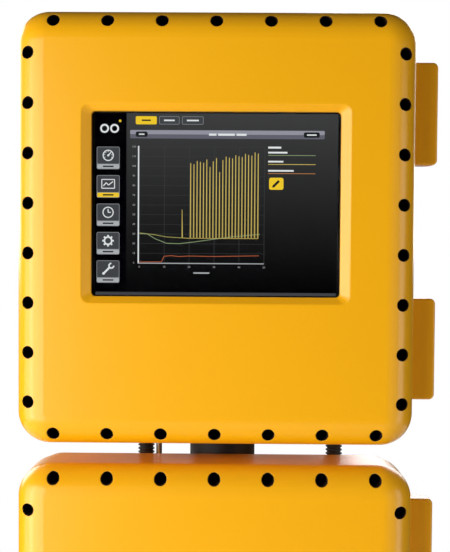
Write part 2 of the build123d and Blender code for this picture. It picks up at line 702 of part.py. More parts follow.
def build_electronics():
    """Power supply, controller board, heat sink, terminal rail and terminal blocks."""
    middle = centre_height["upper"]
    supply_x = (-180.0, -60.0)
    supply_rise = (-180.0, -45.0)
    supply_front = plate_front + 46
    with BuildPart() as supply:
        add_block(supply_x, (plate_front, supply_front), (middle + supply_rise[0], middle + supply_rise[1]))
        with BuildSketch(facing(supply_front, x=sum(supply_x) / 2, height=middle + sum(supply_rise) / 2)):
            with GridLocations(16, 44, 6, 2):
                SlotOverall(32, 5, rotation=90)
        extrude(amount=-6, mode=Mode.SUBTRACT)
        chamfer(supply.faces().sort_by(Axis.Y)[0].outer_wire().edges(), 1.5)
    supply.part.label = "power_supply"
    export_step(supply.part, "parts/power_supply.step")

    board_front = board_back + board_thickness
    parts_on_board = (
        ((-140, -100), (20, 60), 4.0), ((-140, -118), (90, 112), 9.0), ((-110, -88), (90, 112), 9.0),
        ((30, 60), (10, 30), 12.0), ((30, 60), (40, 60), 12.0), ((30, 60), (70, 90), 12.0),
        ((-80, -20), (4, 16), 10.0), ((-140, -90), (130, 142), 8.0), ((-60, -20), (130, 142), 8.0),
        ((20, 66), (120, 146), 3.0), ((-84, -66), (60, 100), 3.5),
    )
    with BuildPart() as board:
        add_block(board_x, (board_back, board_front), (middle + board_rise[0], middle + board_rise[1]))
        for x_span, rise_span, tall in parts_on_board:
            add_block(x_span, (board_front, board_front + tall),
                      (middle + rise_span[0], middle + rise_span[1]))
    board.part.label = "controller_board"
    export_step(board.part, "parts/controller_board.step")

    fin_count = 9
    fin_pitch = (heat_sink_x[1] - heat_sink_x[0] - 2) / (fin_count - 1)
    rise_span = (middle + heat_sink_rise[0], middle + heat_sink_rise[1])
    with BuildPart() as sink:
        add_block(heat_sink_x, (board_front, board_front + 4), rise_span)
        for fin in range(fin_count):
            left = heat_sink_x[0] + fin * fin_pitch
            add_block((left, left + 2), (board_front + 4, board_front + 22), rise_span)
    sink.part.label = "controller_heat_sink"
    export_step(sink.part, "parts/controller_heat_sink.step")

    rail_x = (-30.0, 180.0)
    rail_height = middle - 130
    rail_front = plate_front + 7.5
    with BuildPart() as rail:
        add_block(rail_x, (plate_front, plate_front + 1), (rail_height - 12.5, rail_height + 12.5))
        for side in (-1, 1):
            web = sorted((rail_height + side * 11.5, rail_height + side * 12.5))
            add_block(rail_x, (plate_front, rail_front), web)
            lip = sorted((rail_height + side * 11.5, rail_height + side * 17.5))
            add_block(rail_x, (rail_front - 1, rail_front), lip)
    rail.part.label = "terminal_rail"
    export_step(rail.part, "parts/terminal_rail.step")

    block_pitch = 10.0
    block_count = 19
    with BuildPart() as terminals:
        for index in range(block_count):
            left = rail_x[0] + 8 + index * block_pitch
            x_span = (left, left + block_pitch - 0.6)
            add_block(x_span, (rail_front, rail_front + 22), (rail_height - 26, rail_height + 26))
            add_block(x_span, (rail_front + 22, rail_front + 34), (rail_height - 14, rail_height + 14))
            axis_x = left + (block_pitch - 0.6) / 2
            for rise in (-20, 20):
                add_rod((axis_x, rail_front + 14, rail_height + rise),
                        (axis_x, rail_front + 22, rail_height + rise), 2.6, Mode.SUBTRACT)
    terminals.part.label = "terminal_blocks"
    export_step(terminals.part, "parts/terminal_blocks.step")


# ================================================================ measuring cell, fixed pieces
cell_middle = centre_height["lower"]
block_top_height = cell_middle + block_top
block_bottom_height = block_top_height - block_height
cell_back = cell_forward - block_depth / 2
cell_front = cell_forward + block_depth / 2
post_axes = ((cell_x - post_offset, cell_forward + post_offset),
             (cell_x + post_offset, cell_forward - post_offset))
heater_axes = ((cell_x - post_offset, cell_forward - post_offset),
               (cell_x + post_offset, cell_forward + post_offset))


def build_cell():
    """The heated block, its cup, heaters, heat sink and guide posts."""
    block_x = (cell_x - block_width / 2, cell_x + block_width / 2)
    heater_radius = 4.0
    heater_reach = 60.0
    with BuildPart() as block:
        add_block(block_x, (cell_back, cell_front), (block_bottom_height, block_top_height))
        add_rod((cell_x, cell_forward, block_top_height - cup_depth - cup_wall - 3),
                (cell_x, cell_forward, block_top_height), cup_radius + cup_wall + 0.1, Mode.SUBTRACT)
        add_rod((cell_x, cell_forward, block_bottom_height),
                (cell_x, cell_forward, block_top_height - cup_depth), sample_tube_bore, Mode.SUBTRACT)
        for x, forward in heater_axes:
            add_rod((x, forward, block_bottom_height), (x, forward, block_bottom_height + heater_reach),
                    heater_radius, Mode.SUBTRACT)
        for x, forward in post_axes:
            add_rod((x, forward, block_top_height - 15), (x, forward, block_top_height),
                    post_radius - 1, Mode.SUBTRACT)
        chamfer(block.edges().filter_by(Axis.Z).filter_by(GeomType.LINE), 2)
    block.part.label = "cell_block"
    export_step(block.part, "parts/cell_block.step")

    with BuildPart() as cup:
        add_rod((cell_x, cell_forward, block_top_height - cup_depth - cup_wall),
                (cell_x, cell_forward, block_top_height + cup_flange), cup_radius + cup_wall)
        add_rod((cell_x, cell_forward, block_top_height),
                (cell_x, cell_forward, block_top_height + cup_flange), cup_flange_radius)
        add_rod((cell_x, cell_forward, block_top_height - cup_depth),
                (cell_x, cell_forward, block_top_height + cup_flange), cup_radius, Mode.SUBTRACT)
        add_rod((cell_x, cell_forward, block_top_height - cup_depth - cup_wall),
                (cell_x, cell_forward, block_top_height - cup_depth), sample_tube_bore, Mode.SUBTRACT)
    cup.part.label = "test_cup"
    export_step(cup.part, "parts/test_cup.step")

    with BuildPart() as heaters:
        for x, forward in heater_axes:
            add_rod((x, forward, block_bottom_height), (x, forward, block_bottom_height + heater_reach),
                    heater_radius)
            add_rod((x, forward, block_bottom_height - 8), (x, forward, block_bottom_height),
                    heater_radius + 1.5)
    heaters.part.label = "heater_cartridges"
    export_step(heaters.part, "parts/heater_cartridges.step")

    fin_count = 8
    sink_rise = (block_bottom_height + 6, block_top_height - 6)
    fin_pitch = (sink_rise[1] - sink_rise[0] - 2) / (fin_count - 1)
    sink_left = block_x[1]
    with BuildPart() as sink:
        add_block((sink_left, sink_left + 5), (cell_back + 6, cell_front - 6), sink_rise)
        for fin in range(fin_count):
            low = sink_rise[0] + fin * fin_pitch
            add_block((sink_left + 5, sink_left + 42), (cell_back + 6, cell_front - 6), (low, low + 2))
    sink.part.label = "cell_heat_sink"
    export_step(sink.part, "parts/cell_heat_sink.step")

    with BuildPart() as posts:
        for x, forward in post_axes:
            add_rod((x, forward, block_top_height - 15), (x, forward, block_top_height), post_radius - 1)
            add_rod((x, forward, block_top_height), (x, forward, cell_middle + post_top), post_radius)
            add_rod((x, forward, cell_middle + post_top), (x, forward, cell_middle + post_top + 6), 9)
    posts.part.label = "guide_posts"
    export_step(posts.part, "parts/guide_posts.step")


# ================================================================ measuring cell, lifting lid
lid_bottom = block_top_height + cup_flange + lid_gap
lid_top = lid_bottom + lid_thickness
probe_ring = 17.0
igniter_axis = (cell_x - probe_ring, cell_forward)
detector_axis = (cell_x + probe_ring, cell_forward)
thermometer_axis = (cell_x, cell_forward + probe_ring)
igniter_radius = 4.5
detector_radius = 3.0
thermometer_radius = 2.0
motor_base = lid_top + 12
motor_radius = 11.0
motor_height = 40.0


def build_cell_lid():
    """The lid, which lifts along the guide posts, and everything that it carries."""
    with BuildPart() as lid:
        add_block((cell_x - block_width / 2, cell_x + block_width / 2), (cell_back, cell_front),
                  (lid_bottom, lid_top))
        fillet(lid.edges().filter_by(Axis.Z), 6)
        for x, forward in post_axes:
            add_rod((x, forward, lid_top), (x, forward, lid_top + 16), 9.5)
            add_rod((x, forward, lid_bottom), (x, forward, lid_top + 16),
                    post_radius + running_clearance, Mode.SUBTRACT)
        for axis, radius in ((igniter_axis, igniter_radius), (detector_axis, detector_radius),
                             (thermometer_axis, thermometer_radius),
                             ((cell_x, cell_forward), shaft_radius + running_clearance)):
            add_rod((*axis, lid_bottom), (*axis, lid_top), radius, Mode.SUBTRACT)
    lid.part.label = "cell_lid"
    export_step(lid.part, "parts/cell_lid.step")

    with BuildPart() as igniter:
        x, forward = igniter_axis
        add_rod((x, forward, lid_bottom - 6), (x, forward, lid_top + 26), igniter_radius)
        add_rod((x, forward, lid_top), (x, forward, lid_top + 6), igniter_radius + 1)
        for side in (-1, 1):
            add_rod((x, forward + side * 2, lid_bottom - 16), (x, forward + side * 2, lid_bottom - 6), 0.75)
        fillet(igniter.faces().filter_by(Axis.Z).sort_by(Axis.Z)[-1].edges(), 1.5)
    igniter.part.label = "igniter"
    export_step(igniter.part, "parts/igniter.step")

    with BuildPart() as detector:
        x, forward = detector_axis
        add_rod((x, forward, lid_bottom - 10), (x, forward, lid_top), detector_radius)
        with BuildSketch(level(lid_top, x, forward)):
            RegularPolygon(5.5, 6)
        extrude(amount=8)
        add_rod((x, forward, lid_top + 8), (x, forward, lid_top + 30), 4)
    detector.part.label = "flash_detector"
    export_step(detector.part, "parts/flash_detector.step")

    with BuildPart() as thermometer:
        x, forward = thermometer_axis
        add_rod((x, forward, lid_bottom - 42), (x, forward, lid_top + 6), thermometer_radius)
        with BuildSketch(level(lid_top, x, forward)):
            RegularPolygon(5, 6)
        extrude(amount=7)
        add_rod((x, forward, lid_top + 7), (x, forward, lid_top + 34), 3.2)
        fillet(thermometer.faces().filter_by(Axis.Z).sort_by(Axis.Z)[0].edges(), 1.2)
    thermometer.part.label = "temperature_probe"
    export_step(thermometer.part, "parts/temperature_probe.step")

    with BuildPart() as motor:
        add_rod((cell_x, cell_forward, lid_top), (cell_x, cell_forward, motor_base), 9)
        add_rod((cell_x, cell_forward, lid_top), (cell_x, cell_forward, motor_base), 5.5, Mode.SUBTRACT)
        add_rod((cell_x, cell_forward, motor_base), (cell_x, cell_forward, motor_base + motor_height),
                motor_radius)
        add_rod((cell_x, cell_forward, motor_base + motor_height),
                (cell_x, cell_forward, motor_base + motor_height + 3), 6)
        add_rod((cell_x, cell_forward, motor_base), (cell_x, cell_forward, motor_base + 12),
                shaft_radius + running_clearance, Mode.SUBTRACT)
    motor.part.label = "stirrer_motor"
    export_step(motor.part, "parts/stirrer_motor.step")

    blade_reach = 11.0
    shaft_bottom = lid_bottom - 44
    with BuildPart() as stirrer:
        add_rod((cell_x, cell_forward, shaft_bottom), (cell_x, cell_forward, motor_base + 11), shaft_radius)
        add_rod((cell_x, cell_forward, lid_top + 3), (cell_x, cell_forward, lid_top + 9), 4)
        for low, tall in ((shaft_bottom, 9), (lid_bottom - 12, 6)):
            add_rod((cell_x, cell_forward, low), (cell_x, cell_forward, low + tall), 3.6)
            with Locations((cell_x, -cell_forward, low + tall / 2)):
                Box(2 * blade_reach, 1.2, tall)
                Box(1.2, 2 * blade_reach, tall)
    stirrer.part.label = "stirrer"
    export_step(stirrer.part, "parts/stirrer.step")


# ================================================================ sample system
pump_rise = 60.0
pump_height = cell_middle + pump_rise
pump_x = (-84.0, -40.0)
pump_motor_x = (-180.0, -110.0)
manifold_x = (-170.0, -45.0)
manifold_rise = (-140.0, -104.0)
preheater_x = (-34.0, 6.0)
preheater_rise = (-30.0, 36.0)
coupling_radius = 4.0
fitting_top = cell_middle - body_half_height + wall + 16


def build_pump():
    """Gear pump, its motor, and the coupling that turns between them."""
    recess = 10.0
    with BuildPart() as pump:
        add_block(pump_x, (plate_front, plate_front + 50), (pump_height - 25, pump_height + 25))
        fillet(pump.edges().filter_by(Axis.X), 5)
        add_rod((pump_x[0], flow_forward, pump_height), (pump_x[0] + recess, flow_forward, pump_height),
                coupling_radius + running_clearance, Mode.SUBTRACT)
    pump.part.label = "sample_pump"
    export_step(pump.part, "parts/sample_pump.step")

    with BuildPart() as motor:
        add_rod((pump_motor_x[0], flow_forward, pump_height), (pump_motor_x[1], flow_forward, pump_height),
                22)
        chamfer(motor.faces().filter_by(Axis.X).edges(), 1.5)
        add_block((pump_motor_x[0] + 10, pump_motor_x[1] - 10), (plate_front, flow_forward - 12),
                  (pump_height - 16, pump_height + 16))
        add_rod((pump_motor_x[1] - recess, flow_forward, pump_height),
                (pump_motor_x[1], flow_forward, pump_height),
                coupling_radius + running_clearance, Mode.SUBTRACT)
    motor.part.label = "pump_motor"
    export_step(motor.part, "parts/pump_motor.step")

    end_gap = 0.6
    with BuildPart() as coupling:
        add_rod((pump_motor_x[1] - recess + end_gap, flow_forward, pump_height),
                (pump_x[0] + recess - end_gap, flow_forward, pump_height), coupling_radius)
        add_rod((pump_motor_x[1] + end_gap, flow_forward, pump_height),
                (pump_x[0] - end_gap, flow_forward, pump_height), 11)
        groove_middle = (pump_motor_x[1] + pump_x[0]) / 2
        for turn in range(3):
            with Locations(Location((groove_middle, -flow_forward, pump_height), (turn * 60, 0, 0))):
                Box(2, 3, 30, mode=Mode.SUBTRACT)
        add_rod((groove_middle - 2, flow_forward, pump_height),
                (groove_middle + 2, flow_forward, pump_height), 7)
    coupling.part.label = "pump_coupling"
    export_step(coupling.part, "parts/pump_coupling.step")


def build_flow_blocks():
    """Valve manifold, solenoid valves and preheater."""
    manifold_height = (cell_middle + manifold_rise[0], cell_middle + manifold_rise[1])
    with BuildPart() as manifold:
        add_block(manifold_x, (plate_front, plate_front + 50), manifold_height)
        chamfer(manifold.edges().filter_by(Axis.X), 1.5)
    manifold.part.label = "valve_manifold"
    export_step(manifold.part, "parts/valve_manifold.step")

    with BuildPart() as valves:
        for axis_x in (-153.0, -121.0, -89.0):
            top = manifold_height[1]
            add_block((axis_x - 12, axis_x + 12), (flow_forward - 12, flow_forward + 12), (top, top + 6))
            add_block((axis_x - 14, axis_x + 14), (flow_forward - 18, flow_forward + 18), (top + 6, top + 36))
            add_rod((axis_x, flow_forward, top + 36), (axis_x, flow_forward, top + 42), 6)
        fillet(valves.edges().filter_by(Axis.Z).filter_by(GeomType.LINE), 2.5)
    valves.part.label = "solenoid_valves"
    export_step(valves.part, "parts/solenoid_valves.step")

    with BuildPart() as preheater:
        rise = (cell_middle + preheater_rise[0], cell_middle + preheater_rise[1])
        add_block(preheater_x, (plate_front + 6, plate_front + 46), rise)
        fillet(preheater.edges().filter_by(Axis.Z), 4)
        add_block((preheater_x[0] + 8, preheater_x[1] - 8), (plate_front, plate_front + 6), rise)
    preheater.part.label = "preheater"
    export_step(preheater.part, "parts/preheater.step")


def build_tubes():
    """Steel sample tubes, each a straight run or two runs joined by one bend."""
    manifold_bottom = cell_middle + manifold_rise[0]
    manifold_top = cell_middle + manifold_rise[1]
    rise_x = -60.0
    branch_x = -14.0
    bend = 12.0
    straight_runs = (
        (port_x["inlet"], flow_forward, fitting_top, manifold_bottom),
        (port_x["return"], flow_forward, fitting_top, manifold_bottom),
        (port_x["vent"], flow_forward, fitting_top, manifold_bottom),
        (rise_x, flow_forward, manifold_top, pump_height - 25),
        (port_x["drain"], cell_forward, fitting_top, block_bottom_height),
    )
    with BuildPart() as tubes:
        for x, forward, low, high in straight_runs:
            add_rod((x, forward, low), (x, forward, high), sample_tube_radius)
            add_rod((x, forward, low), (x, forward, high), sample_tube_bore, Mode.SUBTRACT)
    tubes.part.label = "sample_tubes"
    export_step(tubes.part, "parts/sample_tubes.step")

    cell_inlet = block_bottom_height + 16
    feed_route = (
        (pump_x[1], -flow_forward, pump_height),
        (branch_x, -flow_forward, pump_height),
        (branch_x, -flow_forward, cell_middle + preheater_rise[1]),
    )
    cell_route = (
        (branch_x, -flow_forward, cell_middle + preheater_rise[0]),
        (branch_x, -flow_forward, cell_inlet),
        (cell_x - block_width / 2, -flow_forward, cell_inlet),
    )
    with BuildPart() as heated_tubes:
        for points, first_direction in ((feed_route, (1, 0, 0)), (cell_route, (0, 0, -1))):
            with BuildLine() as route:
                FilletPolyline(*points, radius=bend)
            with BuildSketch(Plane(origin=points[0], z_dir=first_direction)):
                Circle(sample_tube_radius)
                Circle(sample_tube_bore, mode=Mode.SUBTRACT)
            sweep(path=route.wire())
    heated_tubes.part.label = "heated_sample_tubes"
    export_step(heated_tubes.part, "parts/heated_sample_tubes.step")


def port_axes():
    """The x and forward distance of each sample port in the bottom wall."""
    forward = {"inlet": flow_forward, "return": flow_forward, "vent": flow_forward,
               "drain": cell_forward}
    return [(port_x[name], forward[name]) for name in port_x]


bottom_outside = cell_middle - body_half_height
bottom_inside = bottom_outside + wall


def build_ports():
    """Flame arrestors for the sample lines, and the cable entry, in the bottom wall."""
    arrestor_bottom = bottom_outside - 38
    with BuildPart() as arrestors:
        for x, forward in port_axes():
            add_rod((x, forward, arrestor_bottom), (x, forward, bottom_outside), 15)
            add_rod((x, forward, bottom_outside), (x, forward, bottom_inside + 6), entry_thread_radius)
            add_rod((x, forward, bottom_inside), (x, forward, bottom_inside + 6), 16)
            add_rod((x, forward, bottom_inside + 6), (x, forward, fitting_top), 7)
            for groove in range(4):
                low = arrestor_bottom + 14 + 5 * groove
                with BuildSketch(level(low, x, forward)):
                    Circle(15)
                    Circle(13.4, mode=Mode.SUBTRACT)
                extrude(amount=2, mode=Mode.SUBTRACT)
            add_rod((x, forward, arrestor_bottom), (x, forward, fitting_top), sample_tube_bore,
                    Mode.SUBTRACT)
            add_rod((x, forward, arrestor_bottom), (x, forward, arrestor_bottom + 12),
                    port_thread_radius, Mode.SUBTRACT)
    arrestors.part.label = "flame_arrestors"
    export_step(arrestors.part, "parts/flame_arrestors.step")

    with BuildPart() as entry:
        axis = (cable_entry_x, flow_forward)
        with BuildSketch(level(bottom_outside - 14, *axis)):
            RegularPolygon(18, 6)
        extrude(amount=14)
        add_rod((*axis, bottom_outside - 26), (*axis, bottom_outside - 14), 14)
        add_rod((*axis, bottom_outside), (*axis, bottom_inside + 10), entry_thread_radius)
        add_rod((*axis, bottom_inside), (*axis, bottom_inside + 6), 17)
        add_rod((*axis, bottom_outside - 26), (*axis, bottom_inside + 10), cable_bore_radius,
                Mode.SUBTRACT)
    entry.part.label = "cable_gland"
    export_step(entry.part, "parts/cable_gland.step")


# ================================================================ everything
link_bores = [(centre_conduit_x, centre_conduit_radius), (instrument_tube_x, fitting_thread_radius)]
link_bores += [(x, gland_thread_radius) for x in ribbed_conduit_x]
upper_bores = [(x, link_forward, wall_outside, wall_inside, radius) for x, radius in link_bores]
lower_bores = [(x, link_forward, -wall_inside, -wall_outside, radius) for x, radius in link_bores]
entry_axes = port_axes() + [(cable_entry_x, flow_forward)]
lower_bores += [(x, forward, bottom_outside, bottom_inside, entry_thread_radius)
                for x, forward in entry_axes]

build_housing("upper", upper_bores)
build_housing("lower", lower_bores)
for enclosure in centre_height:
    build_seal(enclosure)
    build_frame_hinges(enclosure)
    build_door(enclosure, has_window=enclosure == "upper")
    build_door_hinges(enclosure)
    build_door_screws(enclosure)
    build_mounting_plate(enclosure)
build_housing_screws()
build_lugs()
build_window()
build_links()
build_standoffs()
build_electronics()
build_cell()
build_cell_lid()
build_pump()
build_flow_blocks()
build_tubes()
build_ports()
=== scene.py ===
"""Dresses a two-enclosure flash point analyser: paint, screen, bores, inner parts and studio."""

import json
import math

import bmesh
import bpy
from bpy.props import FloatProperty, FloatVectorProperty, PointerProperty
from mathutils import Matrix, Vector


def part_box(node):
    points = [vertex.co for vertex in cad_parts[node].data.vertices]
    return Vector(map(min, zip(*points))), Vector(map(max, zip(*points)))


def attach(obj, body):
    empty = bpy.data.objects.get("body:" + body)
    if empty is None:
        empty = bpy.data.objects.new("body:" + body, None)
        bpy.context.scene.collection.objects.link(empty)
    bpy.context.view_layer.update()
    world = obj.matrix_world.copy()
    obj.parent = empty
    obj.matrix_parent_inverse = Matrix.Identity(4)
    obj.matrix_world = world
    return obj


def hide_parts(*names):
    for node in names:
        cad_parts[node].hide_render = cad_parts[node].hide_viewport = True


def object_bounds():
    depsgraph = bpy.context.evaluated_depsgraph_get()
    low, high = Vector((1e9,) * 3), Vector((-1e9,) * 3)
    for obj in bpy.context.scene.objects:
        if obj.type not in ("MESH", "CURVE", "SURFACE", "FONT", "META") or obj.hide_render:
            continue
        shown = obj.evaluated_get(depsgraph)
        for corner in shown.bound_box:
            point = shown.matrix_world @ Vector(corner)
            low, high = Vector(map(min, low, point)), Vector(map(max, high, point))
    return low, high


bl_info = {
    "name": "Flash Point Analyser",
    "version": (1, 0, 0),
    "blender": (4, 5, 0),
    "location": "View3D > Sidebar > Analyser",
    "description": "Builds the finishes, screen and fittings of a wall-mounted flash point analyser",
    "category": "Object",
}

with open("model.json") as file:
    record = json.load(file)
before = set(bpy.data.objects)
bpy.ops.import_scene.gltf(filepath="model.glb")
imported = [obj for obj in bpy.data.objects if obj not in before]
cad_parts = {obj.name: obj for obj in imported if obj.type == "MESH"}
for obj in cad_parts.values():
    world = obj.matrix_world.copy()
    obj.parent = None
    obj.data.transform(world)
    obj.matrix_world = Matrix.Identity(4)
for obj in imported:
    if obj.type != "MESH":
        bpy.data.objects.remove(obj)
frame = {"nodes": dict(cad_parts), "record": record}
CAD_BOX = [list(corner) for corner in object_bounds()]
MM = 0.001


def linear(red, green, blue):
    """A display colour of 0 to 255 as the linear colour that Blender's sockets take."""
    return tuple(
        part / 12.92 if part <= 0.04045 else ((part + 0.055) / 1.055) ** 2.4
        for part in (red / 255, green / 255, blue / 255)
    )


def colour_property(name, description, display):
    """A colour that a user may change, given as a display colour of 0 to 255."""
    return FloatVectorProperty(
        name=name,
        description=description,
        subtype="COLOR",
        size=3,
        min=0.0,
        max=1.0,
        default=linear(*display),
    )


def length_property(name, description, millimetres):
    """A length that a user may change, given in millimetres."""
    return FloatProperty(
        name=name,
        description=description,
        unit="LENGTH",
        precision=4,
        min=0.0,
        default=millimetres * MM,
    )


SCREEN_YELLOW = (240, 200, 44)


class AnalyserSizes(bpy.types.PropertyGroup):
    """Sizes of what is added to the castings and fittings."""

    liner_radius: length_property("Liner radius", "Outer radius of a bore liner", 7.95)
    liner_wall: length_property("Liner wall", "Wall thickness of a bore liner", 0.5)
    liner_inset: length_property("Liner inset", "How far a liner stays under the door's surface", 0.4)
    floor_radius: length_property("Floor radius", "Radius of the round studio floor", 1500.0)


class AnalyserColours(bpy.types.PropertyGroup):
    """Colours of the paint, the dark bore liners that paint the shade inside the screw bores, the conduits,
    the screen and the controller board.
    """

    paint: colour_property("Paint", "Enamel on the castings", (250, 178, 6))
    # Painted shade: this dark brown stands in for the shade deep inside the screw bores.
    liner: colour_property("Bore liner", "Dark brown liner of the screw bores", (58, 40, 30))
    conduit: colour_property("Conduit", "Black conduits between the enclosures", (22, 21, 21))
    accent: colour_property("Screen accent", "Yellow of the chosen tab and buttons", SCREEN_YELLOW)
    circuit: colour_property("Circuit board", "Solder mask of the controller board", (16, 74, 44))


# ---------------------------------------------------------------- meshes
def add_box(bm, low, high):
    """A box between two corners."""
    size = high - low
    middle = (high + low) / 2
    for vert in bmesh.ops.create_cube(bm, size=1.0)["verts"]:
        vert.co = Vector(part * length for part, length in zip(vert.co, size)) + middle


def add_ring(bm, points):
    """A ring of vertices through points."""
    return [bm.verts.new(point) for point in points]


def join_rings(bm, rings):
    """Quads between each ring of vertices and the next."""
    for low, high in zip(rings, rings[1:]):
        for step in range(len(low)):
            after = (step + 1) % len(low)
            bm.faces.new((low[step], low[after], high[after], high[step]))


def around(count):
    """The cosine and sine of evenly spaced turns round a circle."""
    turns = [2 * math.pi * step / count for step in range(count)]
    return [(math.cos(turn), math.sin(turn)) for turn in turns]


def add_lathe(bm, origin, axis, profile, sides):
    """A turned solid: its profile is a list of radius and distance along the axis."""
    first = axis.orthogonal().normalized()
    second = axis.cross(first)
    rings = []
    for radius, along in profile:
        middle = origin + axis * along
        rings.append(add_ring(bm, [middle + (first * c + second * s) * radius for c, s in around(sides)]))
    join_rings(bm, rings)
    bm.faces.new(list(reversed(rings[0])))
    bm.faces.new(rings[-1])


def make_piece(name, bm, materials, body, smooth=35.0):
    """A named piece from a bmesh. It rides on a body."""
    mesh = bpy.data.meshes.new(name)
    bmesh.ops.recalc_face_normals(bm, faces=bm.faces)
    bm.to_mesh(mesh)
    bm.free()
    for material in materials:
        mesh.materials.append(material)
    if smooth:
        mesh.shade_smooth()
        mesh.set_sharp_from_angle(angle=math.radians(smooth))
    piece = bpy.data.objects.new(name, mesh)
    bpy.context.scene.collection.objects.link(piece)
    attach(piece, body)
    return piece


# ---------------------------------------------------------------- shader groups
def new_group(name, inputs, outputs):
    """An empty shader group with named sockets, given as name, kind and default."""
    tree = bpy.data.node_groups.new(name, "ShaderNodeTree")
    for label, kind, default in inputs:
        socket = tree.interface.new_socket(name=label, in_out="INPUT", socket_type=kind)
        socket.default_value = default
    for label, kind in outputs:
        tree.interface.new_socket(name=label, in_out="OUTPUT", socket_type=kind)
    return tree, tree.nodes.new("NodeGroupInput"), tree.nodes.new("NodeGroupOutput")


def feed(tree, socket, operand):
    """Gives an input socket a plain value or the output of another node."""
    if isinstance(operand, bpy.types.NodeSocket):
        tree.links.new(operand, socket)
    else:
        socket.default_value = operand


def fill(tree, node, **values):
    """Feeds the named inputs of a node. An underscore stands for a space."""
    for key, value in values.items():
        feed(tree, node.inputs[key.replace("_", " ")], value)


def maths(tree, operation, first, second=0.0, clamp=False):
    """A Math node. Each operand is a number or an output socket."""
    node = tree.nodes.new("ShaderNodeMath")
    node.operation = operation
    node.use_clamp = clamp
    feed(tree, node.inputs[0], first)
    feed(tree, node.inputs[1], second)
    return node.outputs[0]


def blended(tree, factor, first, second):
    """A colour Mix node between two colours or sockets."""
    node = tree.nodes.new("ShaderNodeMix")
    node.data_type = "RGBA"
    for socket, operand in ((0, factor), (6, first), (7, second)):
        feed(tree, node.inputs[socket], operand)
    return node.outputs[2]


def noise(tree, vector, scale, detail=2.0):
    """A Noise texture read along a vector, as one value of 0 to 1."""
    node = tree.nodes.new("ShaderNodeTexNoise")
    fill(tree, node, Vector=vector, Scale=scale, Detail=detail)
    return node.outputs["Fac"]


def vectors(tree, operation, first, second):
    """A Vector Math node over two sockets."""
    node = tree.nodes.new("ShaderNodeVectorMath")
    node.operation = operation
    feed(tree, node.inputs[0], first)
    feed(tree, node.inputs["Scale" if operation == "SCALE" else 1], second)
    return node.outputs["Value" if operation == "DOT_PRODUCT" else "Vector"]


def object_place(tree):
    """The coordinates of the object."""
    return tree.nodes.new("ShaderNodeTexCoord").outputs["Object"]


def parts_of(tree, vector):
    """The three components of a vector, as the outputs X, Y and Z."""
    split = tree.nodes.new("ShaderNodeSeparateXYZ")
    tree.links.new(vector, split.inputs[0])
    return split.outputs


def roughened(tree, given, amount):
    """A group's given roughness with an amount added, kept within 0 and 1."""
    return maths(tree, "ADD", given.outputs["Roughness"], amount, clamp=True)


COLOUR = "NodeSocketColor"
NUMBER = "NodeSocketFloat"
VECTOR = "NodeSocketVector"
GREY = (0.5, 0.5, 0.5, 1.0)
FINE_SHARE = 0.6
BROAD_SCALE = 9.0
EDGE_SAMPLES = 4
EDGE_BREAK_SCALE = 160.0
EDGE_GAIN = 6.0
EDGE_ROUGHENING = 0.15
DUST_SCALE = 35.0
DUST_COLOUR = (0.42, 0.40, 0.36, 1.0)
DUST_ROUGHENING = 0.4


def build_grain_group():
    """Grain: a stretched noise that shifts colour, roughness and height."""
    tree, given, result = new_group(
        "Surface grain",
        (
            ("Colour", COLOUR, GREY),
            ("Roughness", NUMBER, 0.5),
            ("Scale", NUMBER, 200.0),
            ("Stretch", VECTOR, (1.0, 1.0, 1.0)),
            ("Tint", NUMBER, 0.05),
            ("Gloss spread", NUMBER, 0.05),
        ),
        (("Colour", COLOUR), ("Roughness", NUMBER), ("Height", NUMBER)),
    )
    place = object_place(tree)
    stretched = vectors(tree, "MULTIPLY", place, given.outputs["Stretch"])
    fine = noise(tree, stretched, given.outputs["Scale"], detail=3.0)
    broad = maths(tree, "MULTIPLY", noise(tree, place, BROAD_SCALE), 1.0 - FINE_SHARE)
    both = maths(tree, "ADD", maths(tree, "MULTIPLY", fine, FINE_SHARE), broad)
    shift = maths(tree, "SUBTRACT", both, 0.5)
    shade = maths(tree, "ADD", maths(tree, "MULTIPLY", shift, given.outputs["Tint"]), 1.0)
    tinted = vectors(tree, "SCALE", given.outputs["Colour"], shade)
    rough = roughened(tree, given, maths(tree, "MULTIPLY", shift, given.outputs["Gloss spread"]))
    fill(tree, result, Colour=tinted, Roughness=rough, Height=fine)
    return tree


def build_edge_group():
    """Edge wear: a worn colour along sharp edges, and a normal that softens them."""
    tree, given, result = new_group(
        "Worn edges",
        (
            ("Colour", COLOUR, GREY),
            ("Roughness", NUMBER, 0.5),
            ("Worn colour", COLOUR, GREY),
            ("Amount", NUMBER, 0.5),
            ("Width", NUMBER, 0.0008),
        ),
        (("Colour", COLOUR), ("Roughness", NUMBER), ("Normal", VECTOR)),
    )
    bevel = tree.nodes.new("ShaderNodeBevel")
    bevel.samples = EDGE_SAMPLES
    tree.links.new(given.outputs["Width"], bevel.inputs["Radius"])
    surface = tree.nodes.new("ShaderNodeNewGeometry")
    agree = vectors(tree, "DOT_PRODUCT", bevel.outputs[0], surface.outputs["Normal"])
    edge = maths(tree, "MULTIPLY", maths(tree, "SUBTRACT", 1.0, agree, clamp=True), EDGE_GAIN)
    mask = maths(tree, "MULTIPLY", edge, noise(tree, object_place(tree), EDGE_BREAK_SCALE, detail=3.0))
    mask = maths(tree, "MULTIPLY", mask, given.outputs["Amount"], clamp=True)
    worn = blended(tree, mask, given.outputs["Colour"], given.outputs["Worn colour"])
    rough = roughened(tree, given, maths(tree, "MULTIPLY", mask, EDGE_ROUGHENING))
    fill(tree, result, Colour=worn, Roughness=rough, Normal=bevel.outputs[0])
    return tree


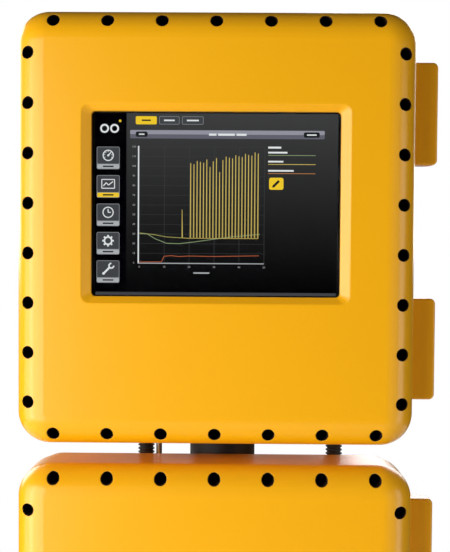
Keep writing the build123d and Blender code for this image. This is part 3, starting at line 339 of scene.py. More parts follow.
def build_dust_group():
    """Dust: a thin pale film on what faces up, broken by noise."""
    tree, given, result = new_group(
        "Settled dust",
        (
            ("Colour", COLOUR, GREY),
            ("Roughness", NUMBER, 0.5),
            ("Amount", NUMBER, 0.2),
        ),
        (("Colour", COLOUR), ("Roughness", NUMBER)),
    )
    surface = tree.nodes.new("ShaderNodeNewGeometry")
    up = maths(tree, "MAXIMUM", parts_of(tree, surface.outputs["Normal"])["Z"], 0.0)
    patches = maths(tree, "MULTIPLY", up, noise(tree, object_place(tree), DUST_SCALE, detail=4.0))
    mask = maths(tree, "MULTIPLY", patches, given.outputs["Amount"], clamp=True)
    dusty = blended(tree, mask, given.outputs["Colour"], DUST_COLOUR)
    rough = roughened(tree, given, maths(tree, "MULTIPLY", mask, DUST_ROUGHENING))
    fill(tree, result, Colour=dusty, Roughness=rough)
    return tree


def build_pixel_group():
    """Pixel rows: the fine grid of a flat screen laid over a colour."""
    tree, given, result = new_group(
        "Pixel grid",
        (("Colour", COLOUR, GREY), ("Pitch", NUMBER, 3000.0), ("Depth", NUMBER, 0.1)),
        (("Colour", COLOUR),),
    )
    place = parts_of(tree, object_place(tree))
    rows = maths(tree, "SINE", maths(tree, "MULTIPLY", place["Z"], given.outputs["Pitch"]))
    columns = maths(tree, "SINE", maths(tree, "MULTIPLY", place["X"], given.outputs["Pitch"]))
    ripple = maths(tree, "MULTIPLY", maths(tree, "MULTIPLY", rows, columns), given.outputs["Depth"])
    rippled = vectors(tree, "SCALE", given.outputs["Colour"], maths(tree, "ADD", ripple, 1.0))
    fill(tree, result, Colour=rippled)
    return tree


GROUPS = {
    "grain": build_grain_group,
    "edges": build_edge_group,
    "dust": build_dust_group,
    "pixels": build_pixel_group,
}
built_groups = {}


def place_group(tree, kind, **values):
    """Puts a shared group into a material, with the values or sockets of its inputs."""
    if kind not in built_groups:
        built_groups[kind] = GROUPS[kind]()
    node = tree.nodes.new("ShaderNodeGroup")
    node.node_tree = built_groups[kind]
    fill(tree, node, **values)
    return node


# ---------------------------------------------------------------- materials
def opaque(colour):
    """A colour with full alpha."""
    return (*colour[:3], 1.0)


def new_material(name):
    """An empty node material, its tree and its Principled shader."""
    material = bpy.data.materials.new(name)
    material.use_nodes = True
    tree = material.node_tree
    return material, tree, tree.nodes["Principled BSDF"]


def build_finish(
    name,
    colour,
    roughness,
    scale,
    worn,
    metallic=0.0,
    stretch=(1.0, 1.0, 1.0),
    tint=0.1,
    gloss=0.1,
    height=0.0001,
    wear=0.3,
    edge=0.0006,
    dust=0.15,
    coat=0.0,
    coat_roughness=0.1,
    specular=0.5,
):
    """A finish of grain, worn edges and dust over one colour."""
    material, tree, shader = new_material(name)
    grain = place_group(
        tree,
        "grain",
        Colour=opaque(colour),
        Roughness=roughness,
        Scale=scale,
        Stretch=stretch,
        Tint=tint,
        Gloss_spread=gloss,
    )
    edges = place_group(
        tree,
        "edges",
        Colour=grain.outputs["Colour"],
        Roughness=grain.outputs["Roughness"],
        Worn_colour=opaque(linear(*worn)),
        Amount=wear,
        Width=edge,
    )
    film = place_group(
        tree,
        "dust",
        Colour=edges.outputs["Colour"],
        Roughness=edges.outputs["Roughness"],
        Amount=dust,
    )
    bump = tree.nodes.new("ShaderNodeBump")
    fill(
        tree,
        bump,
        Strength=1.0,
        Distance=height,
        Height=grain.outputs["Height"],
        Normal=edges.outputs["Normal"],
    )
    fill(
        tree,
        shader,
        Base_Color=film.outputs["Colour"],
        Roughness=film.outputs["Roughness"],
        Normal=bump.outputs["Normal"],
        Metallic=metallic,
        Coat_Weight=coat,
        Coat_Roughness=coat_roughness,
        Specular_IOR_Level=specular,
    )
    return material


def build_glass(name):
    """Thick toughened glass with a coating that keeps reflections low."""
    material, tree, shader = new_material(name)
    fill(
        tree,
        shader,
        Base_Color=(0.96, 0.98, 0.97, 1.0),
        Roughness=0.0,
        IOR=1.12,
        Specular_Tint=(0.1, 0.1, 0.1, 1.0),
        Transmission_Weight=1.0,
    )
    return material


PIXEL_PITCH = 9000.0
PIXEL_DEPTH = 0.05
PAGE_TOP = (62, 62, 63)
PAGE_BOTTOM = (2, 2, 3)
PAGE_FALL = 1.6


def light_up(tree, shader, colour):
    """Makes a shader glow in a colour or a socket's colour, through the pixel grid."""
    grid = place_group(tree, "pixels", Colour=colour, Pitch=PIXEL_PITCH, Depth=PIXEL_DEPTH)
    fill(
        tree,
        shader,
        Emission_Color=grid.outputs["Colour"],
        Emission_Strength=1.0,
        Base_Color=(0.001, 0.001, 0.0012, 1.0),
        Roughness=0.5,
        Specular_IOR_Level=0.02,
    )


def build_ink(name, colour):
    """One colour of light on the screen."""
    material, tree, shader = new_material(name)
    light_up(tree, shader, opaque(colour))
    return material


def build_backlight(name, low, high):
    """The screen's background: a dark grey that falls to black from top to bottom."""
    material, tree, shader = new_material(name)
    height = parts_of(tree, object_place(tree))["Z"]
    rise = maths(tree, "DIVIDE", maths(tree, "SUBTRACT", height, low), high - low, clamp=True)
    rise = maths(tree, "POWER", rise, PAGE_FALL)
    light_up(tree, shader, blended(tree, rise, opaque(linear(*PAGE_BOTTOM)), opaque(linear(*PAGE_TOP))))
    return material


def finish_table(colours):
    """Every finish but the glass, as the arguments of build_finish."""
    return {
        "yellow_paint": dict(
            colour=colours.paint, roughness=0.44, scale=520.0, tint=0.05, gloss=0.08,
            height=0.00012, worn=(255, 214, 120), wear=0.25, edge=0.0012, dust=0.03,
            coat=0.8, coat_roughness=0.23, specular=0.1,
        ),
        # Painted shade: the finish of the dark sleeves that stand in for the shade inside the screw bores.
        "bore_shade_liner": dict(
            colour=colours.liner, roughness=0.6, scale=900.0, tint=0.3, gloss=0.1,
            height=0.00004, worn=(30, 27, 25), wear=0.2, dust=0.0, specular=0.15,
        ),
        "black_conduit": dict(
            colour=colours.conduit, roughness=0.55, scale=700.0, tint=0.3,
            gloss=0.2, height=0.00015, worn=(70, 66, 62), wear=0.5, dust=0.2,
        ),
        "steel": dict(
            colour=linear(176, 177, 180), metallic=1.0, roughness=0.28, scale=900.0,
            stretch=(1.0, 1.0, 0.12), tint=0.12, gloss=0.16, height=0.00002,
            worn=(214, 214, 216), wear=0.4,
        ),
        "black_oxide_steel": dict(
            colour=linear(38, 36, 35), metallic=0.85, roughness=0.42, scale=800.0, tint=0.25,
            gloss=0.2, height=0.00003, worn=(120, 116, 110), wear=0.6,
        ),
        "zinc_plate": dict(
            colour=linear(176, 178, 176), metallic=0.9, roughness=0.38, scale=140.0, tint=0.22,
            gloss=0.22, height=0.00003, worn=(205, 205, 200), wear=0.4, dust=0.2,
        ),
        "bare_aluminium": dict(
            colour=linear(198, 199, 201), metallic=0.9, roughness=0.36, scale=600.0,
            stretch=(0.15, 1.0, 1.0), tint=0.12, gloss=0.16, height=0.00003,
            worn=(228, 228, 228), wear=0.4,
        ),
        "black_aluminium": dict(
            colour=linear(34, 34, 36), metallic=0.5, roughness=0.45, scale=900.0, tint=0.25,
            gloss=0.15, height=0.00004, worn=(120, 120, 122), wear=0.4,
        ),
        "brass": dict(
            colour=linear(196, 158, 92), metallic=1.0, roughness=0.3, scale=500.0, tint=0.18,
            gloss=0.16, height=0.00002, worn=(226, 196, 136), wear=0.5,
        ),
        "seal_rubber": dict(
            colour=linear(30, 29, 28), roughness=0.78, scale=1200.0, tint=0.3,
            gloss=0.12, height=0.0001, worn=(70, 68, 66), wear=0.3, dust=0.3, specular=0.3,
        ),
        "display_panel": dict(
            colour=linear(20, 20, 22), roughness=0.5, scale=1500.0, tint=0.2,
            gloss=0.1, height=0.00003, worn=(60, 60, 62), wear=0.3, specular=0.3,
        ),
        "circuit_board": dict(
            colour=colours.circuit, roughness=0.34, scale=260.0, tint=0.3,
            gloss=0.12, height=0.00002, worn=(120, 130, 96), wear=0.4, coat=0.4,
        ),
        "grey_plastic": dict(
            colour=linear(150, 152, 154), roughness=0.5, scale=1400.0, tint=0.1,
            gloss=0.12, height=0.00006, worn=(180, 181, 182), wear=0.3,
        ),
        "black_plastic": dict(
            colour=linear(30, 30, 32), roughness=0.46, scale=1400.0, tint=0.25,
            gloss=0.14, height=0.00006, worn=(80, 80, 82), wear=0.3,
        ),
        "green_plastic": dict(
            colour=linear(38, 128, 74), roughness=0.42, scale=1400.0, tint=0.12,
            gloss=0.12, height=0.00004, worn=(90, 160, 110), wear=0.3,
        ),
        "circuit_track": dict(
            colour=linear(44, 122, 74), metallic=0.1, roughness=0.34, scale=500.0, tint=0.15,
            gloss=0.1, height=0.00001, worn=(90, 150, 100), wear=0.2, coat=0.4,
        ),
        "green_lamp": dict(
            colour=linear(60, 190, 90), roughness=0.25, scale=500.0, tint=0.1,
            gloss=0.1, height=0.00002, worn=(120, 220, 140), wear=0.2, coat=0.5,
        ),
        "amber_lamp": dict(
            colour=linear(226, 150, 40), roughness=0.25, scale=500.0, tint=0.1,
            gloss=0.1, height=0.00002, worn=(240, 190, 100), wear=0.2, coat=0.5,
        ),
        "white_ceramic": dict(
            colour=linear(232, 227, 214), roughness=0.4, scale=700.0, tint=0.08,
            gloss=0.12, height=0.00005, worn=(244, 240, 230), wear=0.2, coat=0.3,
        ),
    }


finishes = {}


def finish_for(slot):
    """The material of a slot or an added piece, built the first time that it is asked for."""
    if slot not in finishes:
        if slot == "window_glass":
            finishes[slot] = build_glass(slot)
        else:
            finishes[slot] = build_finish(slot, **finish_table(bpy.context.scene.analyser_colours)[slot])
    return finishes[slot]


# ---------------------------------------------------------------- door geometry
DOOR_CORNER = 41.0 * MM
DOOR_EDGE_ROUND = 37.0 * MM
LINER_FOOT = -199.6 * MM
LINER_SIDES = 32
ROW_PITCH = 67.0 * MM
ROW_OFFSET = 255.3 * MM
COLUMN_PITCH = 61.65 * MM
COLUMN_OFFSET = 232.5 * MM


def bore_axes():
    """The thirty screw bores of a door, as x and height from its centre."""
    rows = [(step * ROW_PITCH, side * ROW_OFFSET) for side in (-1, 1) for step in range(-3, 4)]
    columns = [
        (side * COLUMN_OFFSET, (step + 0.5) * COLUMN_PITCH) for side in (-1, 1) for step in range(-4, 4)
    ]
    return rows + columns


def front_depth(x, height, half_width, half_height):
    """How far the door's rounded front lies behind its flat face, at a point from its centre."""
    beyond_x = max(abs(x) - (half_width - DOOR_CORNER), 0.0)
    beyond_z = max(abs(height) - (half_height - DOOR_CORNER), 0.0)
    if beyond_x and beyond_z:
        inset = DOOR_CORNER - math.hypot(beyond_x, beyond_z)
    else:
        inset = min(half_width - abs(x), half_height - abs(height))
    if inset >= DOOR_EDGE_ROUND:
        return 0.0
    return DOOR_EDGE_ROUND - math.sqrt(max(DOOR_EDGE_ROUND**2 - (DOOR_EDGE_ROUND - inset) ** 2, 0.0))


def add_liner(bm, axis, door_low, door_high, sizes):
    """One dark sleeve, painted shade inside a screw bore, whose rim follows the rounded front of the door.
    """
    middle = (door_low + door_high) / 2
    half = (door_high - door_low) / 2
    outer = sizes.liner_radius
    inner = outer - sizes.liner_wall
    rings = []
    for radius, at_front in ((inner, False), (inner, True), (outer, True), (outer, False)):
        points = []
        for cosine, sine in around(LINER_SIDES):
            x = axis[0] + radius * cosine
            height = axis[1] + radius * sine
            y = LINER_FOOT
            if at_front:
                y = door_low.y + front_depth(x, height, half.x, half.z) + sizes.liner_inset
            points.append((middle.x + x, y, middle.z + height))
        rings.append(add_ring(bm, points))
    join_rings(bm, [*rings, rings[0]])


def make_liners(name):
    """The thirty dark sleeves of one door, which paint the shade inside its screw bores."""
    door = f"{name}_door"
    low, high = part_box(door)
    bm = bmesh.new()
    for axis in bore_axes():
        add_liner(bm, axis, low, high, bpy.context.scene.analyser_sizes)
    make_piece(f"{name}_bore_shade_liners", bm, [finish_for("bore_shade_liner")], door)


# ---------------------------------------------------------------- the screen
SCREEN_WIDTH = 304.0
SCREEN_HEIGHT = 228.0
SCREEN_SURFACE = -239.5 * MM
LAYER = 0.06 * MM
INKS = {
    "page": None,
    "bar": (0, 0, 1),
    "edge": (132, 134, 138),
    "button": (64, 66, 70),
    "label": (172, 174, 178),
    "pale": (226, 228, 230),
    "yellow": SCREEN_YELLOW,
    "title": (146, 146, 158),
    "title_low": (98, 98, 110),
    "dark": (30, 31, 34),
    "grid": (62, 62, 64),
    "gold": (206, 182, 96),
    "green": (134, 152, 112),
    "olive": (160, 154, 84),
    "red": (176, 88, 58),
    "orange": (184, 122, 74),
}


def polar(u, v, radius, degrees):
    """The point at a distance and an angle from another."""
    turn = math.radians(degrees)
    return u + radius * math.cos(turn), v + radius * math.sin(turn)


class ScreenDrawing:
    """Flat shapes on the screen, in millimetres from its upper left corner."""

    def __init__(self, centre):
        self.bm = bmesh.new()
        self.centre = centre
        self.inks = list(INKS)

    def vert(self, u, v, layer):
        """A vertex on one layer of the picture, from its distances to the right and down."""
        x = self.centre.x + (u - SCREEN_WIDTH / 2) * MM
        z = self.centre.z + (SCREEN_HEIGHT / 2 - v) * MM
        return self.bm.verts.new((x, SCREEN_SURFACE - LAYER * layer, z))

    def shape(self, points, ink, layer):
        """A filled outline."""
        face = self.bm.faces.new([self.vert(u, v, layer) for u, v in points])
        face.material_index = self.inks.index(ink)

    def rectangle(self, left, top, right, bottom, ink, layer, corner=0.0):
        """A rectangle, rounded by its corner radius."""
        if not corner:
            self.shape(((left, top), (right, top), (right, bottom), (left, bottom)), ink, layer)
            return
        centres = (
            (right - corner, top + corner, -90),
            (right - corner, bottom - corner, 0),
            (left + corner, bottom - corner, 90),
            (left + corner, top + corner, 180),
        )
        turns = (0.0, 22.5, 45.0, 67.5, 90.0)
        points = [polar(u, v, corner, start + turn) for u, v, start in centres for turn in turns]
        self.shape(points, ink, layer)

    def disc(self, u, v, radius, ink, layer, sides=24):
        """A filled circle."""
        self.shape([polar(u, v, radius, 360 * step / sides) for step in range(sides)], ink, layer)

    def line(self, points, width, ink, layer):
        """A line of constant width through points, one quad for each run."""
        for (u0, v0), (u1, v1) in zip(points, points[1:]):
            length = math.hypot(u1 - u0, v1 - v0)
            du, dv = (v1 - v0) / length * width / 2, -(u1 - u0) / length * width / 2
            corners = ((u0 + du, v0 + dv), (u1 + du, v1 + dv), (u1 - du, v1 - dv), (u0 - du, v0 - dv))
            self.shape(corners, ink, layer)

    def arc(self, u, v, radius, width, start, stop, ink, layer):
        """Part of a ring, from one angle in degrees to another."""
        steps = int((stop - start) / 12)
        turn = (stop - start) / steps
        points = [polar(u, v, radius, start + turn * step) for step in range(steps + 1)]
        self.line(points, width, ink, layer)

    def figures(self, text, u, v, size, ink, layer):
        """A plain number, centred on a point."""
        first = self.vert(u, v, layer)
        for face in add_figures(self.bm, text, first.co.copy(), size * MM):
            face.material_index = self.inks.index(ink)
        self.bm.verts.remove(first)


ICON = ("pale", 4)


def draw_gauge(draw, u, v):
    """A dial with a needle."""
    draw.arc(u, v, 6.4, 1.3, 0, 360, *ICON)
    draw.line(((u, v), (u + 3.2, v - 3.4)), 1.3, *ICON)
    draw.disc(u, v, 1.3, *ICON)
    for turn in range(150, 391, 40):
        draw.line((polar(u, v, 4.2, turn), polar(u, v, 5.4, turn)), 0.8, *ICON)


def draw_chart(draw, u, v):
    """A small framed graph."""
    corners = ((u - 8, v - 5.5), (u + 8, v - 5.5), (u + 8, v + 5.5), (u - 8, v + 5.5), (u - 8, v - 5.5))
    draw.line(corners, 1.1, *ICON)
    draw.line(((u - 6, v + 2.5), (u - 2.5, v - 1.5), (u + 0.5, v + 1.5), (u + 6, v - 3)), 1.2, *ICON)


def draw_clock(draw, u, v):
    """A clock face with two hands."""
    draw.arc(u, v, 6.4, 1.3, 0, 360, *ICON)
    draw.line(((u, v - 4.2), (u, v), (u + 3.4, v)), 1.2, *ICON)


def draw_gear(draw, u, v):
    """A ring with eight teeth."""
    draw.arc(u, v, 4.6, 2.0, 0, 360, *ICON)
    for turn in range(0, 360, 45):
        draw.line((polar(u, v, 5.2, turn), polar(u, v, 7.2, turn)), 2.2, *ICON)


def draw_spanner(draw, u, v):
    """A spanner that leans to the right."""
    draw.line(((u - 5.5, v + 5.5), (u + 2.6, v - 2.6)), 2.4, *ICON)
    draw.arc(u + 4.2, v - 4.2, 3.0, 1.9, 0, 270, *ICON)
    draw.disc(u - 5.5, v + 5.5, 1.7, *ICON)


BUTTON_TOP = 41.8
BUTTON_PITCH = 35.55


def draw_sidebar(draw):
    """The bare mark and the five buttons down the left side."""
    draw.rectangle(0.0, 0.0, 39.5, SCREEN_HEIGHT, "bar", 1)
    for u in (12.0, 24.5):
        draw.disc(u, 19.0, 5.6, "pale", 2)
        draw.disc(u, 19.0, 3.4, "bar", 3)
    draw.disc(31.5, 9.5, 1.6, "yellow", 2)
    icons = (draw_gauge, draw_chart, draw_clock, draw_gear, draw_spanner)
    for step, icon in enumerate(icons):
        top = BUTTON_TOP + BUTTON_PITCH * step
        draw.rectangle(2.3, top, 31.0, top + 28.0, "edge", 2, corner=2.0)
        draw.rectangle(3.0, top + 0.7, 30.3, top + 21.2, "button", 3, corner=1.4)
        draw.rectangle(3.0, top + 21.8, 30.3, top + 27.3, "yellow" if step == 1 else "label", 3, corner=1.2)
        draw.rectangle(10.0, top + 23.6, 23.4, top + 25.4, "dark", 4)
        icon(draw, 16.65, top + 10.8)


def draw_header(draw):
    """The tabs and the title bar."""
    draw.rectangle(51.0, 3.6, 77.3, 13.7, "yellow", 2, corner=1.6)
    draw.rectangle(58.5, 7.7, 69.8, 9.6, "dark", 3)
    for left, right in ((80.3, 105.7), (108.9, 135.8)):
        draw.rectangle(left, 3.6, right, 13.7, "edge", 2, corner=1.6)
        draw.rectangle(left + 0.6, 4.2, right - 0.6, 13.1, "button", 3, corner=1.2)
        draw.rectangle(left + 6.0, 7.7, right - 6.0, 9.6, "pale", 4)
    draw.rectangle(44.0, 20.8, 287.1, 31.2, "title_low", 2, corner=1.4)
    draw.rectangle(44.0, 20.8, 287.1, 26.0, "title", 3, corner=1.4)
    for left, right in ((51.0, 66.0), (261.0, 281.0)):
        draw.rectangle(left, 22.7, right, 29.3, "dark", 4, corner=2.2)
        draw.rectangle(left + 4.0, 25.2, right - 4.0, 26.8, "pale", 5)
    for left, right in ((142.6, 152.0), (154.0, 175.0), (177.0, 189.6)):
        draw.rectangle(left, 24.8, right, 27.4, "pale", 4)


GRAPH_LEFT, GRAPH_RIGHT = 55.9, 212.4
GRAPH_TOP, GRAPH_BOTTOM = 41.6, 186.7


def draw_axes(draw):
    """The grid of the graph, its two axes and its plain numbers."""
    rows, columns = 12, 5
    row = (GRAPH_BOTTOM - GRAPH_TOP) / rows
    column = (GRAPH_RIGHT - GRAPH_LEFT) / columns
    for step in range(rows + 1):
        v = GRAPH_BOTTOM - step * row
        draw.line(((GRAPH_LEFT, v), (GRAPH_RIGHT, v)), 0.35, "grid", 2)
        draw.figures(str(10 * step), GRAPH_LEFT - 7.0, v, 3.2, "label", 3)
    for step in range(1, columns + 1):
        u = GRAPH_LEFT + step * column
        draw.line(((u, GRAPH_TOP), (u, GRAPH_BOTTOM)), 0.5, "grid", 2)
    for step in range(columns + 1):
        u = GRAPH_LEFT + step * column
        draw.figures(str(10 * step), u, GRAPH_BOTTOM + 5.0, 3.2, "label", 3)
    draw.rectangle(124.0, GRAPH_BOTTOM + 11.5, 144.0, GRAPH_BOTTOM + 13.2, "label", 3)
    upright = GRAPH_LEFT - 1.2
    level = GRAPH_BOTTOM + 0.4
    draw.line(((upright, GRAPH_TOP - 1.0), (upright, GRAPH_BOTTOM)), 1.6, "pale", 4)
    draw.line(((GRAPH_LEFT - 2.0, level), (GRAPH_RIGHT, level)), 1.1, "label", 4)


def draw_flashes(draw):
    """The gold trace: one lone spike, then a row of them that climbs to the right."""
    floor = 155.6
    spikes = 22
    first, last = 119.6, 204.0
    start_peak, climb, wobble = 62.1, 12.8, 2.0
    short_spikes = {6: 8.0, 9: 16.0}
    trace = [(109.4, floor - 0.4), (109.5, 119.8), (110.1, floor - 0.4), (119.0, floor)]
    for step in range(spikes):
        u = first + step * (last - first) / (spikes - 1)
        peak = start_peak - climb * step / (spikes - 1) + wobble * math.sin(2.1 * step)
        peak += short_spikes.get(step, 0.0)
        trace += [(u, floor), (u + 0.25, peak), (u + 0.65, peak), (u + 0.9, floor)]
    draw.line(trace, 0.6, "gold", 5)


def draw_trends(draw):
    """The three slow traces."""
    green = [(GRAPH_LEFT, 150.0), (66.0, 150.5), (76.0, 156.5), (90.0, 162.0), (106.0, 162.4)]
    green += [(126.0, 160.0), (150.0, 156.4), (176.0, 153.0), (207.0, 150.2)]
    olive = [(GRAPH_LEFT, 149.2), (74.0, 151.2), (90.0, 154.0), (109.0, 155.2)]
    red = [(GRAPH_LEFT, 185.6), (84.0, 185.4), (87.0, 178.4), (96.0, 177.4), (106.0, 178.6)]
    red += [(118.0, 177.8), (150.0, 178.2), (206.0, 177.0)]
    for points, ink in ((green, "green"), (olive, "olive"), (red, "red")):
        draw.line(points, 0.8, ink, 4)


LEGEND_LEFT = 216.8


def draw_legend(draw):
    """The legend's underlined rows and the pencil button."""
    draw.rectangle(LEGEND_LEFT, 40.6, 233.0, 43.0, "pale", 3)
    rows = ((48.1, 24.0, "green"), (59.3, 19.0, "gold"), (70.7, 32.0, "orange"))
    for down, length, ink in rows:
        draw.rectangle(LEGEND_LEFT, down - 1.1, LEGEND_LEFT + length, down + 1.0, "pale", 3)
        draw.line(((LEGEND_LEFT, down + 3.4), (276.0, down + 3.4)), 0.75, ink, 3)
    draw.rectangle(218.2, 79.3, 236.2, 94.3, "yellow", 3, corner=2.6)
    draw.line(((223.6, 90.2), (230.6, 83.2)), 3.0, "dark", 4)
    draw.shape(((222.2, 91.6), (222.7, 88.6), (225.2, 91.1)), "dark", 5)


def make_screen():
    """The lit picture that the display shows behind the glass, and a grey strip along its bottom that is a
    painted highlight of the glass edge.
    """
    low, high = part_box("window_glass")
    centre = Vector(((low.x + high.x) / 2, SCREEN_SURFACE, (low.z + high.z) / 2))
    draw = ScreenDrawing(centre)
    draw.rectangle(0.0, 0.0, SCREEN_WIDTH, SCREEN_HEIGHT, "page", 0.5)
    draw_sidebar(draw)
    draw_header(draw)
    draw_axes(draw)
    draw_flashes(draw)
    draw_trends(draw)
    draw_legend(draw)
    # Painted highlight: this grey strip along the bottom of the picture stands in for light caught by the
    # glass edge.
    draw.rectangle(1.0, SCREEN_HEIGHT - 4.6, SCREEN_WIDTH - 1.0, SCREEN_HEIGHT - 0.8, "button", 2)
    half = SCREEN_HEIGHT / 2 * MM
    materials = [build_backlight("screen_page", centre.z - half, centre.z + half)]
    shades = {name: linear(*display) for name, display in INKS.items() if display}
    shades["yellow"] = bpy.context.scene.analyser_colours.accent
    materials += [build_ink(f"screen_{name}", shade) for name, shade in shades.items()]
    piece = make_piece("screen_picture", draw.bm, materials, "upper_door", smooth=0.0)
    for polygon in piece.data.polygons:
        if polygon.normal.y > 0.0:
            polygon.flip()


# ---------------------------------------------------------------- inner fittings
FRONT = Vector((0.0, -1.0, 0.0))
UP = Vector((0.0, 0.0, 1.0))
RIGHT = Vector((1.0, 0.0, 0.0))


def box_of(node):
    """The corners of a CAD node, in millimetres."""
    low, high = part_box(node)
    return low / MM, high / MM


class Assembly:
    """The solids of one added piece, in millimetres, each with a finish of its own."""

    def __init__(self):
        self.bm = bmesh.new()
        self.finishes = []

    def keep(self, before, finish):
        """Gives the faces made since a count the named finish."""
        if finish not in self.finishes:
            self.finishes.append(finish)
        self.bm.faces.ensure_lookup_table()
        for face in self.bm.faces[before:]:
            face.material_index = self.finishes.index(finish)

    def box(self, low, high, finish, rounding=0.0):
        """A box between two corners."""
        before = len(self.bm.faces)
        add_box(self.bm, Vector(low) * MM, Vector(high) * MM)
        self.keep(before, finish)
        if rounding:
            edges = list({edge for face in self.bm.faces[before:] for edge in face.edges})
            bmesh.ops.bevel(
                self.bm, geom=edges, offset=rounding * MM, segments=2, affect="EDGES", profile=0.5
            )

    def turned(self, origin, axis, profile, finish, sides=24):
        """A turned solid, from a profile of radius and distance along the axis."""
        before = len(self.bm.faces)
        metres = [(radius * MM, along * MM) for radius, along in profile]
        add_lathe(self.bm, Vector(origin) * MM, axis, metres, sides)
        self.keep(before, finish)

    def screw(self, origin, axis, radius, finish="zinc_plate"):
        """A pan head with a hexagon socket, standing on a surface."""
        tall = 0.75 * radius
        socket = 0.45 * radius
        head = ((radius, 0.0), (radius, 0.6 * tall), (0.8 * radius, tall), (socket, tall))
        self.turned(origin, axis, head, finish)
        top = Vector(origin) + axis * (tall + 0.02)
        self.turned(top, axis, ((socket, 0.0), (0.4 * radius, 0.01)), "black_plastic", 6)

    def corner_screws(self, low, high, aside, rise, radius, finish="zinc_plate"):
        """Four screws on the front of a block, set in from its sides and from its ends."""
        for x in (low.x + aside, high.x - aside):
            for z in (low.z + rise, high.z - rise):
                self.screw((x, low.y, z), FRONT, radius, finish)

    def nut(self, origin, axis, radius, length):
        """A brass compression nut: a chamfered hexagon with a round collar."""
        flats = ((0.92, 0.0), (1.0, 0.08), (1.0, 0.62), (0.92, 0.7))
        collar = ((0.74, 0.66), (0.74, 0.92), (0.64, 1.0))
        for shares, sides in ((flats, 6), (collar, 24)):
            profile = [(wide * radius, along * length) for wide, along in shares]
            self.turned(origin, axis, profile, "brass", sides)

    def place(self, name, body, slot):
        """Makes the piece."""
        return make_piece(name, self.bm, [finish_for(finish) for finish in self.finishes], body)


UPPER_MIDDLE = 283.5


def at(x, forward, rise):
    """A point in the upper enclosure, as x, forward distance and rise from its centre."""
    return Vector((x, -forward, UPPER_MIDDLE + rise))


BOARD_FRONT = 81.6
BOARD_BACK = 80.0
LEAD_PITCH = 1.6
TRACK_HEIGHT = 0.06
CHIPS = (
    ((-140, -100), (20, 60), 4.0, "black_plastic"),
    ((20, 42), (120, 146), 3.0, "black_plastic"),
    ((44, 66), (120, 146), 3.0, "black_plastic"),
    ((-84, -66), (60, 100), 3.5, "black_plastic"),
)
HOUSED = (
    ((-140, -118), (90, 112), 9.0, "grey_plastic"),
    ((-110, -88), (90, 112), 9.0, "grey_plastic"),
    ((-80, -20), (4, 16), 10.0, "black_plastic"),
)
PLUGS = (
    ((30, 60), (10, 30), 12.0, 4),
    ((30, 60), (40, 60), 12.0, 4),
    ((30, 60), (70, 90), 12.0, 4),
    ((-140, -90), (130, 142), 8.0, 8),
    ((-60, -20), (130, 142), 8.0, 6),
)
CANS = (
    (-128, 76, 4.0),
    (-114, 76, 4.0),
    (-100, 76, 4.0),
    (-10, 32, 5.0),
    (4, 32, 5.0),
    (66, 104, 4.0),
    (18, 104, 3.2),
)


def add_block(board, x_span, rise_span, tall, finish, rounding=0.0, foot=0.0):
    """A block on the board, from the height of its foot to that of its top."""
    left, right = x_span
    low, high = rise_span
    board.box(at(left, BOARD_FRONT + tall, low), at(right, BOARD_FRONT + foot, high), finish, rounding)


def add_chip(board, x_span, rise_span, tall, finish):
    """A chip with a row of leads along each long side."""
    left, right = x_span
    low, high = rise_span
    add_block(board, (left + 1.5, right - 1.5), (low + 0.5, high - 0.5), tall, finish, 0.2, foot=0.4)
    for step in range(int((high - low - 2) / LEAD_PITCH)):
        rise = low + 1.5 + step * LEAD_PITCH
        for x in (left - 0.3, right - 1.8):
            add_block(board, (x, x + 2.1), (rise, rise + 0.7), 0.5, "zinc_plate")
    dot = ((0.9, 0.0), (0.8, 0.03))
    board.turned(at(left + 4.5, BOARD_FRONT + tall, high - 3.5), FRONT, dot, "grey_plastic", 16)


def add_plug(board, x_span, rise_span, tall, ways):
    """A pluggable terminal with its screws."""
    left, right = x_span
    low, high = rise_span
    add_block(board, x_span, rise_span, tall, "green_plastic", 0.4)
    wide = (right - left) / ways
    half = 0.3 * wide
    for way in range(ways):
        x = left + (way + 0.5) * wide
        board.screw(at(x, BOARD_FRONT + tall - 0.2, (low + high) / 2), FRONT, min(0.36 * wide, 2.2))
        spans = ((x - half, x + half), (low - 0.1, low + 0.4))
        add_block(board, *spans, 0.75 * tall, "black_plastic", foot=0.25 * tall)


